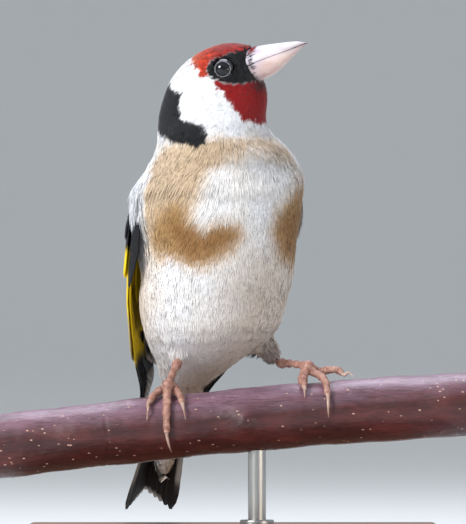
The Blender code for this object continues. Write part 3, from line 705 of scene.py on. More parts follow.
def lie_direction(points, normals):
    """The way the feathers point: back from the bill on the head, then down the body."""
    z = points[:, 2]
    from_bill = points - (BILL_BASE + HEAD_AHEAD * 1.0)
    from_bill /= np.linalg.norm(from_bill, axis=1)[:, None]
    back_share = np.interp(z, (20, 50, 75, 100), (0.85, 0.6, 0.18, 0.0))
    down = np.tile(-UP, (len(points), 1)) - AHEAD * back_share[:, None]
    turn, _ = body_turn(points)
    sweep = smoothstep(74, 88, z) * (0.75 * bump(turn, 48, 26) - 0.35 * bump(turn, -55, 25))
    down = down + SIDE * sweep[:, None]
    head_share = smoothstep(103, 114, z)[:, None]
    lie = from_bill * head_share + down * (1 - head_share)
    lie -= normals * (lie * normals).sum(axis=1)[:, None]
    return lie / np.maximum(np.linalg.norm(lie, axis=1), 1e-6)[:, None]


def under_wing(points):
    """True where a folded wing lies over the body, so that no coat shows."""
    turn, _ = body_turn(points)
    z = points[:, 2]
    first = np.interp(z, (44, 60, 80, 88, 95), (120, 114, 113, 118, 150))
    return (np.abs(turn) > first) & (np.abs(turn) < 158) & (z > 40) & (z < 95)


def in_bill(points):
    along, up, side = bill_place(points)
    reach = np.hypot(up / 4.15, side / 3.7)
    first = -2.5 - 0.5 * (up < -2.5) + 1.2 * (up > 2.0)
    return (along > first) & (reach < 1.04) & (points[:, 2] > 112)


def build_coat(skin):
    draw = np.random.default_rng(RANDOM_SEED)
    points, normals = mesh_arrays(skin.data)
    skin.data.calc_loop_triangles()
    triangles = np.empty(len(skin.data.loop_triangles) * 3, np.int32)
    skin.data.loop_triangles.foreach_get("vertices", triangles)
    triangles = triangles.reshape(-1, 3)
    corners = points[triangles]
    face_normals = np.cross(corners[:, 1] - corners[:, 0], corners[:, 2] - corners[:, 0])
    areas = np.linalg.norm(face_normals, axis=1) / 2
    middles = corners.mean(axis=1)
    bare = under_wing(middles) | in_bill(middles) | ((eye_distance(middles) < 2.35) & (middles[:, 2] > 115))
    for name, low, high, count in COAT_BANDS:
        weight = np.where((middles[:, 2] >= low) & (middles[:, 2] < high) & ~bare, areas, 0)
        if name == "coat_face":
            weight = weight * (1 + 1.2 * (1 - smoothstep(3.0, 6.0, eye_distance(middles))))
        chosen = draw.choice(len(triangles), size=count, p=weight / weight.sum())
        a, b = draw.random(count), draw.random(count)
        over = a + b > 1
        a[over], b[over] = 1 - a[over], 1 - b[over]
        share = np.stack((1 - a - b, a, b), axis=1)[:, :, None]
        roots = (corners[chosen] * share).sum(axis=1)
        outs = (normals[triangles[chosen]] * share).sum(axis=1)
        outs /= np.linalg.norm(outs, axis=1)[:, None]
        coat_piece(name, low, high, roots, outs, draw)


def coat_piece(name, low, high, roots, outs, draw):
    """One band of the coat: each feather is a fan of thin barbs, closed and tapered."""
    count = len(roots)
    lie = lie_direction(roots, outs)
    swing = (draw.normal(0, 0.05, count) + 0.12 * waviness(roots, 3.4))[:, None]
    across = np.cross(outs, lie)
    lie = lie * np.cos(swing) + across * np.sin(swing)
    across = np.cross(outs, lie)
    length = feather_length(roots) * draw.uniform(0.8, 1.2, count)
    on_head = smoothstep(102, 112, roots[:, 2])
    covering = over_wing(roots)
    half_width = (1.75 - 1.0 * on_head) * draw.uniform(0.85, 1.15, count)
    lift = (0.7 - 0.4 * on_head + 1.3 * covering) * draw.uniform(0.75, 1.3, count)
    lift *= np.interp(roots[:, 2], (20, 44), (0.4, 1.0))
    bend = 1 / (2 * np.interp(roots[:, 2], (20, 45, 100, 112), (14, 17, 20, 11.5))) * (1 - 0.5 * covering)
    tone = draw.uniform(0.94, 1.05, count)
    place = np.linspace(-1, 1, BARBS)

    def spread(values):
        return np.repeat(values, BARBS, axis=0)

    slot_place = np.tile(place, count) + draw.uniform(-0.12, 0.12, count * BARBS)
    total = count * BARBS
    root = spread(roots) + spread(across) * (slot_place * spread(half_width) * 0.6)[:, None]
    root = root - spread(lie) * (0.5 * slot_place**2 * spread(length) * 0.3)[:, None] - spread(outs) * 0.1
    fan = (0.14 * slot_place + draw.normal(0, 0.04, total))[:, None]
    way = spread(lie) * np.cos(fan) + spread(across) * np.sin(fan)
    side = np.cross(spread(outs), way)
    reach = spread(length) * (1 - 0.2 * slot_place**2) * draw.uniform(0.8, 1.1, total)
    rise = spread(lift) * draw.uniform(0.85, 1.15, total)
    curve = spread(bend)
    width = (0.26 - 0.11 * spread(on_head)) * draw.uniform(0.8, 1.2, total)
    rings = []
    for t, share in zip(BARB_STEPS, BARB_SHAPE):
        along = reach * t
        height = rise * (1.9 * t - 1.05 * t * t) - curve * along**2
        middle = root + way * along[:, None] + spread(outs) * height[:, None]
        if share == 0:
            rings.append(middle[:, None, :])
        else:
            half = side * (width * share / 2)[:, None]
            top = middle + spread(outs) * (width * share * 0.22)[:, None]
            rings.append(np.stack((middle - half, middle + half, top), axis=1))
    points = np.concatenate(rings, axis=1)
    per_barb = points.shape[1]
    faces = [(0, 2, 1)]
    for i in range(3):
        j = (i + 1) % 3
        faces += [(i, 3 + j, 3 + i), (i, j, 3 + j), (3 + i, 3 + j, 6)]
    triangles = (np.asarray(faces)[None] + (np.arange(total) * per_barb)[:, None, None]).reshape(-1, 3)
    along_share = np.array([0, 0, 0, 0.5, 0.5, 0.5, 1.0])
    colour = plumage_colour(root)
    redness = smoothstep(0.2, 0.5, colour[:, 0] - colour[:, 2])
    # Barbs darken toward their roots: painted shade under the overlapping feathers, deepest on the red ones.
    shade = 1.0 - (0.07 + 0.6 * redness)[:, None] * (1 - along_share)[None]
    barb_tone = spread(tone) * draw.uniform(0.95, 1.04, total)
    barb_tone = barb_tone * (1 + redness * draw.uniform(-0.5, 0.15, total))
    tints = colour[:, None, :] * (barb_tone[:, None] * shade)[:, :, None]
    _, away = body_turn(roots)
    u = np.arctan2(away[:, 1], away[:, 0]) / (2 * math.pi) + 0.5
    v = (roots[:, 2] - low) / (high - low)
    start = spread(np.stack((u, v), axis=1)) * (1 - 2 * BAKE_PATCH) + BAKE_PATCH
    start = start + draw.uniform(-0.5, 0.5, (total, 2)) * BAKE_PATCH
    local = np.stack(([0, 1, 0.5, 0, 1, 0.5, 0.5], along_share), axis=1) * BAKE_PATCH
    uv = np.clip(start[:, None, :] + local[None], 0, 1).reshape(-1, 2)[triangles.ravel()]
    piece = mesh_from_arrays(name, points.reshape(-1, 3), triangles, coat_finish, tints.reshape(-1, 3), uv)
    lean = np.array((-0.3, 0.3, 0.0, -0.3, 0.3, 0.0, 0.0))
    facing = spread(outs)[:, None, :] + side[:, None, :] * lean[None, :, None]
    facing /= np.linalg.norm(facing, axis=2)[:, :, None]
    piece.data.normals_split_custom_set_from_vertices(facing.reshape(-1, 3))
    return finish_piece(piece, "white feathers" if low > 105 else "buff feathers")


# Flight feathers

SLEEVE_LEVELS = (
    # height, middle, half depth and half width of the shape that the folded wings lie on
    (26.0, -46.0, 4.4, 7.2),
    (31.0, -41.4, 5.0, 8.2),
    (38.0, -34.0, 6.4, 10.0),
    (44.0, -25.6, 9.6, 12.4),
    (50.0, -17.0, 15.0, 16.4),
    (57.0, -9.5, 18.3, 19.4),
    (65.0, -6.2, 19.2, 21.2),
    (72.0, -3.2, 19.7, 22.0),
    (80.0, -1.4, 19.4, 21.9),
    (87.0, 0.6, 18.7, 22.1),
    (94.5, 2.0, 17.2, 21.9),
    (98.0, 2.4, 16.4, 20.6),
)
WING_ROWS = (
    # row, count, first and last root, first and last tip (turn, height), width, layer, layer step
    ("primary", 9, (110, 74), (118, 76), (134, 30.5), (153, 44.0), 4.8, 0.1, 0.08),
    ("secondary", 7, (113, 80), (150, 82), (118, 50.0), (164, 48.5), 6.2, 0.75, 0.1),
    ("tertial", 3, (157, 84), (168, 86), (168, 52.0), (174, 60.0), 6.4, 1.5, 0.2),
    ("primary_covert", 4, (91, 84), (98, 84), (91, 71.0), (98, 68.0), 2.6, 0.3, 0.08),
    ("greater_covert", 9, (110, 88), (164, 90), (110, 70.5), (170, 70.0), 5.2, 1.55, 0.07),
    ("median_covert", 9, (112, 92), (160, 93), (110, 80.0), (166, 80.0), 4.6, 2.05, 0.06),
    ("lesser_covert", 9, (112, 95), (158, 96), (111, 85.5), (163, 86.5), 4.4, 2.3, 0.05),
    ("alula", 3, (87, 84), (93, 84), (87, 74.0), (93, 76.0), 2.2, 0.5, 0.1),
)
# The wing comes out from under the body feathers between these heights, from this layer
WING_EMERGES = (95.0, 82.0)
WING_SUNK_LAYER = -1.3
# The far wing's tip lies closer in, out of sight behind the belly
LEFT_WING_TUCK = 2.6
LEFT_WING_TUCK_LEVELS = (64.0, 50.0)
FAR_WING_FIRST_TURN = 117.0
WING_VANE_THICKNESS = 0.32
TAIL_VANE_THICKNESS = 0.24
VANE_STEPS = 22
VANE_COLUMNS = 8
YELLOW_TOP = 77.0


def sleeve_point(turn, height, way, layer):
    table = np.asarray(SLEEVE_LEVELS)
    middle, half_depth, half_width = (np.interp(height, table[:, 0], table[:, k]) for k in (1, 2, 3))
    if way < 0:
        half_width = half_width - LEFT_WING_TUCK * smoothstep(*LEFT_WING_TUCK_LEVELS, height)
    layer = WING_SUNK_LAYER + (layer - WING_SUNK_LAYER) * smoothstep(*WING_EMERGES, height)
    angle = np.radians(turn)
    ahead = middle + (half_depth + layer) * np.cos(angle)
    side = way * (half_width + layer) * np.sin(angle)
    base = np.stack((np.full_like(ahead, BODY_AXIS_X), np.zeros_like(ahead), height), axis=-1)
    return base + ahead[..., None] * AHEAD + side[..., None] * SIDE


def vane_grid(middle, out, half_width, tip_round, draw):
    """Top points of one feather: rows along its shaft, columns across it, with loose barb ends."""
    steps = len(middle)
    t = np.linspace(0, 1, steps)
    along = np.gradient(middle, axis=0)
    along /= np.linalg.norm(along, axis=1)[:, None]
    out = out - along * (out * along).sum(axis=1)[:, None]
    out /= np.linalg.norm(out, axis=1)[:, None]
    across = np.cross(along, out)
    past_round = np.clip(t - tip_round, 0, 1) / (1.002 - tip_round)
    shape = np.minimum(1, 0.62 + 1.6 * t) * np.sqrt(np.clip(1 - past_round**2.2, 0, 1))
    wide = half_width * np.maximum(shape, 0.02)
    columns = np.linspace(-1, 1, VANE_COLUMNS + 1)
    edge = np.abs(columns) > 0.99
    ragged = 1 + np.where(edge[None], draw.uniform(-0.06, 0.02, (steps, len(columns))), 0)
    place = columns[None] * wide[:, None] * ragged
    drop = 0.10 * half_width * columns[None] ** 2 * shape[:, None]
    shaft = 0.10 * (np.abs(columns) < 0.05)[None] * (1 - 0.7 * t)[:, None]
    top = middle[:, None] + across[:, None] * place[..., None] + out[:, None] * (shaft - drop)[..., None]
    return top, out, columns, t


def vane_mesh(grid, out, thickness):
    rows, columns = grid.shape[:2]
    under = grid - out[:, None] * thickness
    points = np.concatenate((grid.reshape(-1, 3), under.reshape(-1, 3)))
    index = np.arange(rows * columns).reshape(rows, columns)
    a, b, c, d = index[:-1, :-1], index[:-1, 1:], index[1:, 1:], index[1:, :-1]
    top = quads_as_triangles(a, b, c, d)
    rim = np.concatenate((index[0, :], index[1:, -1], index[-1, -2::-1], index[-2:0:-1, 0]))
    after = np.roll(rim, -1)
    size = rows * columns
    side = quads_as_triangles(rim, rim + size, after + size, after)
    return points, np.concatenate((top, top[:, ::-1] + size, side))


def gather_vanes(name, vanes, material, slot, nodes):
    solids, colours, uvs = [], [], []
    for grid, out, thickness, tint, columns, lengths in vanes:
        solids.append(vane_mesh(grid, out, thickness))
        colours += [tint.reshape(-1, 3)] * 2
        across = np.tile(columns, (len(lengths), 1))
        place = np.stack((across, np.repeat(lengths[:, None], len(columns), axis=1)), axis=-1).reshape(-1, 2)
        uvs.append(np.concatenate((place, place))[solids[-1][1].ravel()])
    points, triangles = join_solids(solids)
    tints, places = np.concatenate(colours), np.concatenate(uvs)
    piece = mesh_from_arrays(name, points, triangles, material, tints, places, "vane")
    turn_faces_outwards(piece)
    return finish_piece(piece, slot, *nodes)


def wing_tint(row, grid, columns, t, turn_start):
    """Colours of one wing feather: black, with the yellow bar and pale tips."""
    steps, wide = grid.shape[:2]
    flat = grid.reshape(-1, 3)
    turn = np.abs(body_turn(flat)[0]).reshape(steps, wide)
    z = flat[:, 2].reshape(steps, wide)
    tint = np.tile(np.asarray(BLACK), (steps, wide, 1))
    t = np.repeat(t[:, None], wide, axis=1)
    across = np.tile(columns, (steps, 1))
    if row in ("primary", "secondary", "greater_covert"):
        lowest = 48.0 + 0.36 * np.clip(turn_start - 108, 0, 60)
        band = smoothstep(lowest - 1.2, lowest + 1.2, z + 0.4 * np.abs(across))
        tint = mix(tint, YELLOW, band * (1 - smoothstep(YELLOW_TOP - 1, YELLOW_TOP + 1, z)))
    tip = {"primary": 0.955, "secondary": 0.93, "tertial": 0.84}.get(row)
    if tip:
        tint = mix(tint, TIP_WHITE, smoothstep(tip - 0.02, tip + 0.02, t + 0.02 * np.abs(across)))
    if row == "secondary":
        fringe = smoothstep(0.86, 0.96, np.abs(across)) * smoothstep(0.55, 0.7, t)
        tint = mix(tint, srgb(150, 140, 128), 0.7 * fringe)
    if row in ("median_covert", "lesser_covert"):
        tint = mix(tint, BACK_BROWN, 0.55 * smoothstep(0.75, 0.95, t) * smoothstep(120, 150, turn))
    return tint


def build_wing(side_name, way):
    draw = np.random.default_rng(RANDOM_SEED + 5)
    vanes = []
    for row, count, root_a, root_b, tip_a, tip_b, width, layer, step in WING_ROWS:
        for k in range(count):
            share = k / (count - 1)
            root = np.array(root_a) * (1 - share) + np.array(root_b) * share
            tip = np.array(tip_a) * (1 - share) + np.array(tip_b) * share
            tip = tip + draw.uniform(-0.5, 0.5, 2) * (0.8, 1.1)
            t = np.linspace(0, 1, VANE_STEPS)
            if way < 0:
                root[0] = max(root[0], FAR_WING_FIRST_TURN)
                tip[0] = max(tip[0], FAR_WING_FIRST_TURN)
            turn = root[0] + (tip[0] - root[0]) * t
            height = root[1] + (tip[1] - root[1]) * t
            level = layer + step * k
            middle = sleeve_point(turn, height, way, level)
            angle = np.radians(turn)[:, None]
            out = SIDE * way * np.sin(angle) + AHEAD * np.cos(angle)
            tip_round = 0.72 if row in ("primary", "alula") else 0.8
            grid, out, columns, t = vane_grid(middle, out, width / 2, tip_round, draw)
            columns = columns * way
            tint = wing_tint(row, grid, columns, t, root[0])
            length = np.linalg.norm(middle[-1] - middle[0])
            vanes.append((grid, out, WING_VANE_THICKNESS, tint, columns, t * length))
    name = "wing_feathers_" + side_name
    return gather_vanes(name, vanes, vane_finish, "wing feathers", ["wing_" + side_name])


TAIL_TILT = 36.9
TAIL_ROOT = (-24.0, 1.8, 54.0)
TAIL_RIDGE_LENGTH = 46.8
TAIL_FORK = 2.6
TAIL_SLOPE = 33.0
TAIL_HALF_WIDTH = 9.3
TAIL_LAYER = 0.28


def tail_tint(grid, columns, t, k):
    steps, wide = grid.shape[:2]
    tint = np.tile(np.asarray(TAIL_BLACK), (steps, wide, 1))
    t = np.repeat(t[:, None], wide, axis=1)
    across = np.tile(columns, (steps, 1))
    if k >= 4:
        window = smoothstep(0.6, 0.66, t) * (1 - smoothstep(0.82, 0.87, t)) * smoothstep(0.1, 0.3, -across)
        tint = mix(tint, TIP_WHITE, 0.35 * window)
    if k < 4:
        tint = mix(tint, TIP_WHITE, 0.8 * smoothstep(0.97, 0.99, t))
    fringe = smoothstep(0.78, 0.95, np.abs(across)) * 0.12
    return mix(tint, srgb(120, 108, 96), fringe)


def build_tail():
    draw = np.random.default_rng(RANDOM_SEED + 9)
    tilt, slope = math.radians(TAIL_TILT), math.radians(TAIL_SLOPE)
    down = -AHEAD * math.sin(tilt) - UP * math.cos(tilt)
    under = AHEAD * math.cos(tilt) - UP * math.sin(tilt)
    root = np.array((BODY_AXIS_X, 0, TAIL_ROOT[2])) + AHEAD * TAIL_ROOT[0] + SIDE * TAIL_ROOT[1]
    vanes = []
    for way in (1, -1):
        across = SIDE * way * math.cos(slope) + under * math.sin(slope)
        over = SIDE * way * math.sin(slope) - under * math.cos(slope)
        for k in range(6):
            share = (k + 0.5) / 6
            t = np.linspace(0, 1, VANE_STEPS)
            length = TAIL_RIDGE_LENGTH + TAIL_FORK * share
            aside = (TAIL_HALF_WIDTH * share - 0.5) * (0.35 + 0.65 * t)
            layer = -TAIL_LAYER * k + (0.1 if way > 0 else 0.0)
            middle = root + down * (length * t)[:, None] + across * aside[:, None] + over * layer
            out = np.tile(over, (len(t), 1))
            grid, out, columns, t = vane_grid(middle, out, (4.0 - 0.5 * share) / 2, 0.86, draw)
            columns = columns * way
            tint = tail_tint(grid, columns, t, k)
            vanes.append((grid, out, TAIL_VANE_THICKNESS, tint, columns, t * length))
    return gather_vanes("tail_feathers", vanes, vane_finish, "tail feathers", ["tail"])


# Lofted pieces

def loft_arrays(rings):
    """Points and triangles of a closed solid through rings of equally many points."""
    rings = np.asarray(rings)
    count, sides = rings.shape[:2]
    ends = np.stack((rings[0].mean(axis=0), rings[-1].mean(axis=0)))
    points = np.concatenate((rings.reshape(-1, 3), ends))
    index = np.arange(count * sides).reshape(count, sides)
    after = np.roll(index, -1, axis=1)
    a, b, c, d = index[:-1], after[:-1], after[1:], index[1:]
    body = quads_as_triangles(a, b, c, d)
    first = np.stack((after[0], index[0], np.full(sides, count * sides)), -1)
    last = np.stack((index[-1], after[-1], np.full(sides, count * sides + 1)), -1)
    return points, np.concatenate((body, first, last))


def loft_piece(name, ring_sets, material, colours=None):
    points, triangles = join_solids([loft_arrays(rings) for rings in ring_sets])
    piece = mesh_from_arrays(name, points, triangles, material, colours)
    turn_faces_outwards(piece)
    return piece


def curve_through(points, steps):
    """A smooth curve through points, given steps to each stretch."""
    points = np.asarray(points, float)
    ends = np.concatenate((2 * points[:1] - points[1:2], points, 2 * points[-1:] - points[-2:-1]))
    t = np.linspace(0, 1, steps, endpoint=False)[:, None]
    found = []
    for i in range(1, len(ends) - 2):
        a, b, c, d = ends[i - 1 : i + 3]
        found.append(
            0.5 * (2 * b + (c - a) * t + (2 * a - 5 * b + 4 * c - d) * t**2 + (3 * b - 3 * c + d - a) * t**3)
        )
    return np.concatenate(found + [points[-1:]])


def tube_rings(path, radii, sides, flatten=1.0):
    rings = []
    first_step = path[1] - path[0]
    upright = abs(first_step[2]) >= 0.8 * np.linalg.norm(first_step)
    normal = np.array((1.0, 0, 0)) if upright else UP
    tangents = np.gradient(path, axis=0)
    turn = np.linspace(0, 2 * math.pi, sides, endpoint=False)[:, None]
    for middle, along, radius in zip(path, tangents, radii):
        along = along / np.linalg.norm(along)
        normal = normal - along * (normal @ along)
        normal = normal / np.linalg.norm(normal)
        other = np.cross(along, normal)
        rings.append(middle + (normal * np.cos(turn) * flatten + other * np.sin(turn)) * radius)
    return rings


# Bill

BILL_PROFILE = (
    # share of the length, culmen, gonys, half width
    (-0.42, 4.1, -5.0, 3.9),
    (-0.31, 4.0, -4.8, 3.85),
    (-0.2, 3.9, -4.45, 3.65),
    (0.0, 3.9, -4.2, 3.6),
    (0.15, 3.55, -3.95, 3.4),
    (0.30, 3.1, -3.4, 2.9),
    (0.46, 2.6, -2.55, 2.3),
    (0.63, 2.05, -1.65, 1.65),
    (0.80, 1.4, -0.8, 1.0),
    (0.92, 0.65, -0.3, 0.5),
    (1.0, 0.12, -0.04, 0.1),
)
BILL_GAPE = 0.1
BILL_REACH = (-0.4, 1.0)
CULMEN_KEEL = 0.12
BRISTLES = 520
BRISTLE_RADII = (0.06, 0.05, 0.015)


def bill_shape(unit):
    """Places on the bill for points of a unit ball whose poles are the bill's base and tip."""
    smooth = curve_through(BILL_PROFILE, 8)
    s = (unit[:, 2] + 1) / 2
    share = BILL_REACH[0] + (BILL_REACH[1] - BILL_REACH[0]) * s
    culmen, gonys, half = (np.interp(share, smooth[:, 0], smooth[:, k]) for k in (1, 2, 3))
    round_off = np.sqrt(np.clip(1 - np.clip(1 - s / 0.05, 0, 1) ** 2, 0, 1))
    round_off = round_off * np.sqrt(np.clip((1 - s) / 0.01, 0, 1))
    flat = np.hypot(unit[:, 0], unit[:, 1])
    cos, sin = unit[:, 0] / np.maximum(flat, 1e-6), unit[:, 1] / np.maximum(flat, 1e-6)
    height = np.where(sin > 0, culmen * sin**0.94, gonys * np.abs(sin) ** 0.94)
    height += CULMEN_KEEL * bump(cos, 0, 0.18) * (sin > 0) * culmen / 4
    return (
        BILL_BASE + BILL_ALONG * (share * BILL_LENGTH)[:, None]
        + BILL_UP * (height * round_off)[:, None] + HEAD_SIDE * (cos * half * round_off)[:, None]
    )


def build_bill():
    for name, way in (("upper", 1), ("lower", -1)):
        bpy.ops.object.select_all(action="DESELECT")
        bpy.ops.mesh.primitive_uv_sphere_add(segments=56, ring_count=72, radius=MM)
        horn = bpy.context.object
        horn.name = "bill_horn_" + name
        shape_points(horn, bill_shape)
        bpy.ops.object.mode_set(mode="EDIT")
        bpy.ops.mesh.select_all(action="SELECT")
        cut = (BILL_BASE + BILL_UP * (BILL_GAPE + 0.02 * way)) * MM
        bpy.ops.mesh.bisect(plane_co=cut, plane_no=BILL_UP * way, use_fill=True, clear_inner=True)
        bpy.ops.object.mode_set(mode="OBJECT")
        if way < 0:
            shape_points(horn, narrow_lower_edge)
        smooth_faces(horn, 50)
        horn.data.materials.append(bill_finish)
        finish_piece(horn, "bill horn", "bill_" + name)


def narrow_lower_edge(points):
    """The lower half's cutting edge lies just inside the upper one's."""
    _, height, side = bill_place(points)
    near = smoothstep(-1.4, 0.0, height)
    return points - HEAD_SIDE * (side * 0.03 * near)[:, None]


def build_bristles():
    """Fine bristles that lie forward over the root of the bill."""
    draw = np.random.default_rng(RANDOM_SEED + 3)
    t = np.array((0.0, 0.5, 1.0))[:, None]
    rings = []
    tints = []
    for _ in range(BRISTLES):
        turn = draw.uniform(-math.pi, math.pi)
        cos, sin = math.cos(turn), math.sin(turn)
        out = HEAD_SIDE * cos + BILL_UP * sin
        rim = HEAD_SIDE * cos * 3.55 + BILL_UP * sin * (3.9 if sin > 0 else 4.2)
        start = BILL_BASE + BILL_ALONG * (draw.uniform(-4.0, -2.9) + 1.4 * max(0.0, sin)) + rim
        length = draw.uniform(1.1, 2.0) * (0.8 if sin < -0.55 else 1.0)
        path = start + BILL_ALONG * length * t + out * (0.28 * np.sin(2.4 * t) - 0.12)
        path[1:] += draw.normal(0, 0.1, 3)
        rings.append(tube_rings(path, BRISTLE_RADII, 3))
        crown = sin > 0.62
        tint = np.asarray(RED) if crown and draw.random() < 0.8 else np.asarray(BLACK)
        if not crown and draw.random() < 0.16:
            tint = np.asarray(srgb(150, 146, 158))
        tints.append(np.tile(tint, (11, 1)))
    piece = loft_piece("bill_bristles", rings, coat_finish, np.concatenate(tints))
    finish_piece(piece, "white feathers")


# Eyes

EYE_RADIUS = 2.7
LID_RADIUS = 1.93
LID_THICKNESS = 0.19


def beaded(points):
    """The lid's ring with its small beads of bare skin."""
    turn = np.arctan2(points[:, 1], points[:, 0])
    beads = 1 + 0.035 * np.sin(turn * 26) + 0.02 * np.sin(turn * 11 + 1)
    points[:, :2] *= beads[:, None]
    points[:, 2] += 0.05 * np.sin(turn * 13)
    return points


def build_eyes():
    for name, way in (("right", 1), ("left", -1)):
        middle, look = EYES[way], eye_look(way)
        bpy.ops.object.select_all(action="DESELECT")
        bpy.ops.mesh.primitive_uv_sphere_add(segments=64, ring_count=40, radius=EYE_RADIUS * MM)
        ball = bpy.context.object
        ball.name = "eyeball_" + name
        turned = Vector(look).to_track_quat("Z", "Y").to_matrix().to_4x4()
        ball.data.transform(Matrix.Translation(Vector(middle) * MM) @ turned)
        ball.data.shade_smooth()
        ball.data.materials.append(eye_finish)
        finish_piece(ball, "eye", "eye_" + name)
        rim_out = math.sqrt(EYE_RADIUS**2 - LID_RADIUS**2)
        bpy.ops.mesh.primitive_torus_add(
            major_radius=LID_RADIUS * MM, minor_radius=LID_THICKNESS * MM,
            major_segments=72, minor_segments=16,
        )
        lid = bpy.context.object
        lid.name = "eyelid_" + name
        shape_points(lid, beaded)
        lid.data.transform(Matrix.Translation(Vector(middle + look * rim_out) * MM) @ turned)
        lid.data.shade_smooth()
        lid.data.materials.append(lid_finish)
        finish_piece(lid, "leg skin")


# Legs and feet

FOOT_PAD_RADIUS = 1.55
BRANCH_HEIGHT = 34.2
BRANCH_RISE = 0.0905
BRANCH_ARCH = 0.00031
BRANCH_RADIUS = 8.0
BRANCH_REACH = 60.0
BARK_RINGS = 340
KNOT_X = 3.5
KNOT_TURN = 100.0
TARSI = {
    "left": ((11.6, 12.4, 48.6), (15.0, 6.6, 48.5), (18.2, 1.0, 48.0)),
    "right": ((-13.7, 3.6, 49.0), (-14.9, 0.4, 46.5), (-16.0, -2.4, 43.9)),
}
TARSUS_RADII = (1.15, 0.75, 0.95)
TOES = {
    "right_outer": ((-17.0, 4, 2.2), (-18.6, 14, 1.5), (-19.9, 26, 1.25), (-20.9, 42, 1.2)),
    "right_middle": ((-16.4, 26, 2.2), (-16.5, 46, 1.4), (-16.6, 70, 1.25), (-16.5, 97, 1.2)),
    "right_inner": ((-14.9, 10, 2.2), (-13.9, 22, 1.5), (-13.1, 36, 1.25), (-12.7, 50, 1.2)),
    "right_hind": ((-15.9, -2, 2.2), (-15.6, -22, 1.5), (-15.4, -48, 1.25), (-15.4, -70, 1.2)),
    "left_outer": ((21.2, -6, 3.0), (23.9, -8, 3.0), (25.9, -5, 2.8), (27.3, 0, 1.7)),
    "left_middle": ((20.0, 4, 2.8), (21.9, 12, 1.9), (23.1, 32, 1.35), (23.6, 58, 1.2)),
    "left_inner": ((18.0, 8, 2.6), (17.6, 18, 1.6), (17.6, 27, 1.3), (17.8, 38, 1.2)),
    "left_hind": ((17.6, -12, 2.6), (17.2, -30, 1.5), (17.0, -54, 1.25), (17.0, -76, 1.2)),
}
TOE_RADII = (1.05, 0.95, 0.9, 0.72)
CLAW_TIPS = {
    "right_outer": (-21.5, 74, 0.4),
    "right_middle": (-15.3, 138, 0.4),
    "right_inner": (-11.8, 80, 0.4),
    "right_hind": (-15.4, -118, 0.4),
    "left_outer": (30.4, 9, 0.5),
    "left_middle": (23.8, 97, 0.4),
    "left_inner": (17.9, 58, 0.4),
    "left_hind": (17.0, -122, 0.4),
}
CLAW_RADIUS = 0.6
CLAW_ARCH = 0.012
SCUTE_LENGTH = 0.85


def branch_radius(x, turn):
    knot = np.exp(-((x - KNOT_X) ** 2) / 18) * np.exp(-((turn - KNOT_TURN) ** 2) / 1500)
    uneven = 0.12 * np.sin(0.21 * x + np.radians(turn) * 2) + 0.08 * np.sin(0.47 * x + 1.3)
    return BRANCH_RADIUS + uneven + 0.9 * knot


def branch_point(x, turn, lift):
    x, turn = np.asarray(x, float), np.asarray(turn, float)
    angle = np.radians(turn)
    reach = branch_radius(x, turn) + lift
    height = BRANCH_HEIGHT + BRANCH_RISE * x - BRANCH_ARCH * x * x
    return np.stack((x, -np.sin(angle) * reach, height + np.cos(angle) * reach), axis=-1)


def scaled_radii(path, radii):
    """Radii along a leg or toe, stepped by its ring scutes."""
    length = np.concatenate(([0], np.cumsum(np.linalg.norm(np.diff(path, axis=0), axis=1))))
    base = np.interp(np.linspace(0, 1, len(path)), np.linspace(0, 1, len(radii)), radii)
    phase = (length / SCUTE_LENGTH) % 1.0
    knuckles = 1 + 0.2 * np.exp(-(((length % 3.4) - 1.7) / 0.6) ** 2)
    return base * knuckles * (0.95 + 0.12 * phase**0.7 - 0.12 * np.exp(-(((phase - 0.03) / 0.08) ** 2)))


def build_legs():
    for side_name, shank in TARSI.items():
        path = curve_through(shank, 70)
        rings = tube_rings(path, scaled_radii(path, TARSUS_RADII), 20)
        tarsus = loft_piece("shank_" + side_name, [rings], leg_finish)
        finish_piece(tarsus, "leg skin", "tarsus_" + side_name)
        ankle, knuckle = np.array(shank[-2]), np.array(shank[-1])
        onward = (knuckle - ankle) / np.linalg.norm(knuckle - ankle)
        joint = knuckle + onward * (TARSUS_RADII[-1] + 0.3)
        pad_path = joint + onward * np.linspace(-1.5, 1.4, 16)[:, None]
        pad_radii = FOOT_PAD_RADIUS * np.sqrt(np.clip(1 - np.linspace(-0.96, 0.93, 16) ** 2, 0.02, 1))
        sets = [tube_rings(pad_path, pad_radii, 20)]
        for toe, stations in TOES.items():
            if not toe.startswith(side_name):
                continue
            points = [joint] + [branch_point(*station) for station in stations]
            path = curve_through(points, 36)
            sets.append(tube_rings(path, scaled_radii(path, TOE_RADII), 18, 0.94))
            build_claw(toe, path)
        foot = loft_piece("toes_" + side_name, sets, leg_finish)
        finish_piece(foot, "leg skin", "foot_" + side_name)


def build_claw(toe, path):
    end = path[-1]
    onward = (end - path[-6]) / np.linalg.norm(end - path[-6])
    tip = branch_point(*CLAW_TIPS[toe])
    x, turn, lift = TOES[toe][-1]
    tip_x, tip_turn, _ = CLAW_TIPS[toe]
    middle = branch_point((x + tip_x) / 2, (turn + tip_turn) / 2, lift + CLAW_ARCH * abs(tip_turn - turn))
    points = curve_through((end - onward * 0.25, end + onward * 0.9, middle, tip), 10)
    share = np.linspace(0, 1, len(points))
    radii = CLAW_RADIUS * (1 - share) ** 0.75 + 0.03
    claw = loft_piece("talon_" + toe, [tube_rings(points, radii, 16, 0.85)], claw_finish)
    finish_piece(claw, "claw horn", "claw_" + toe)


# Perch and stand

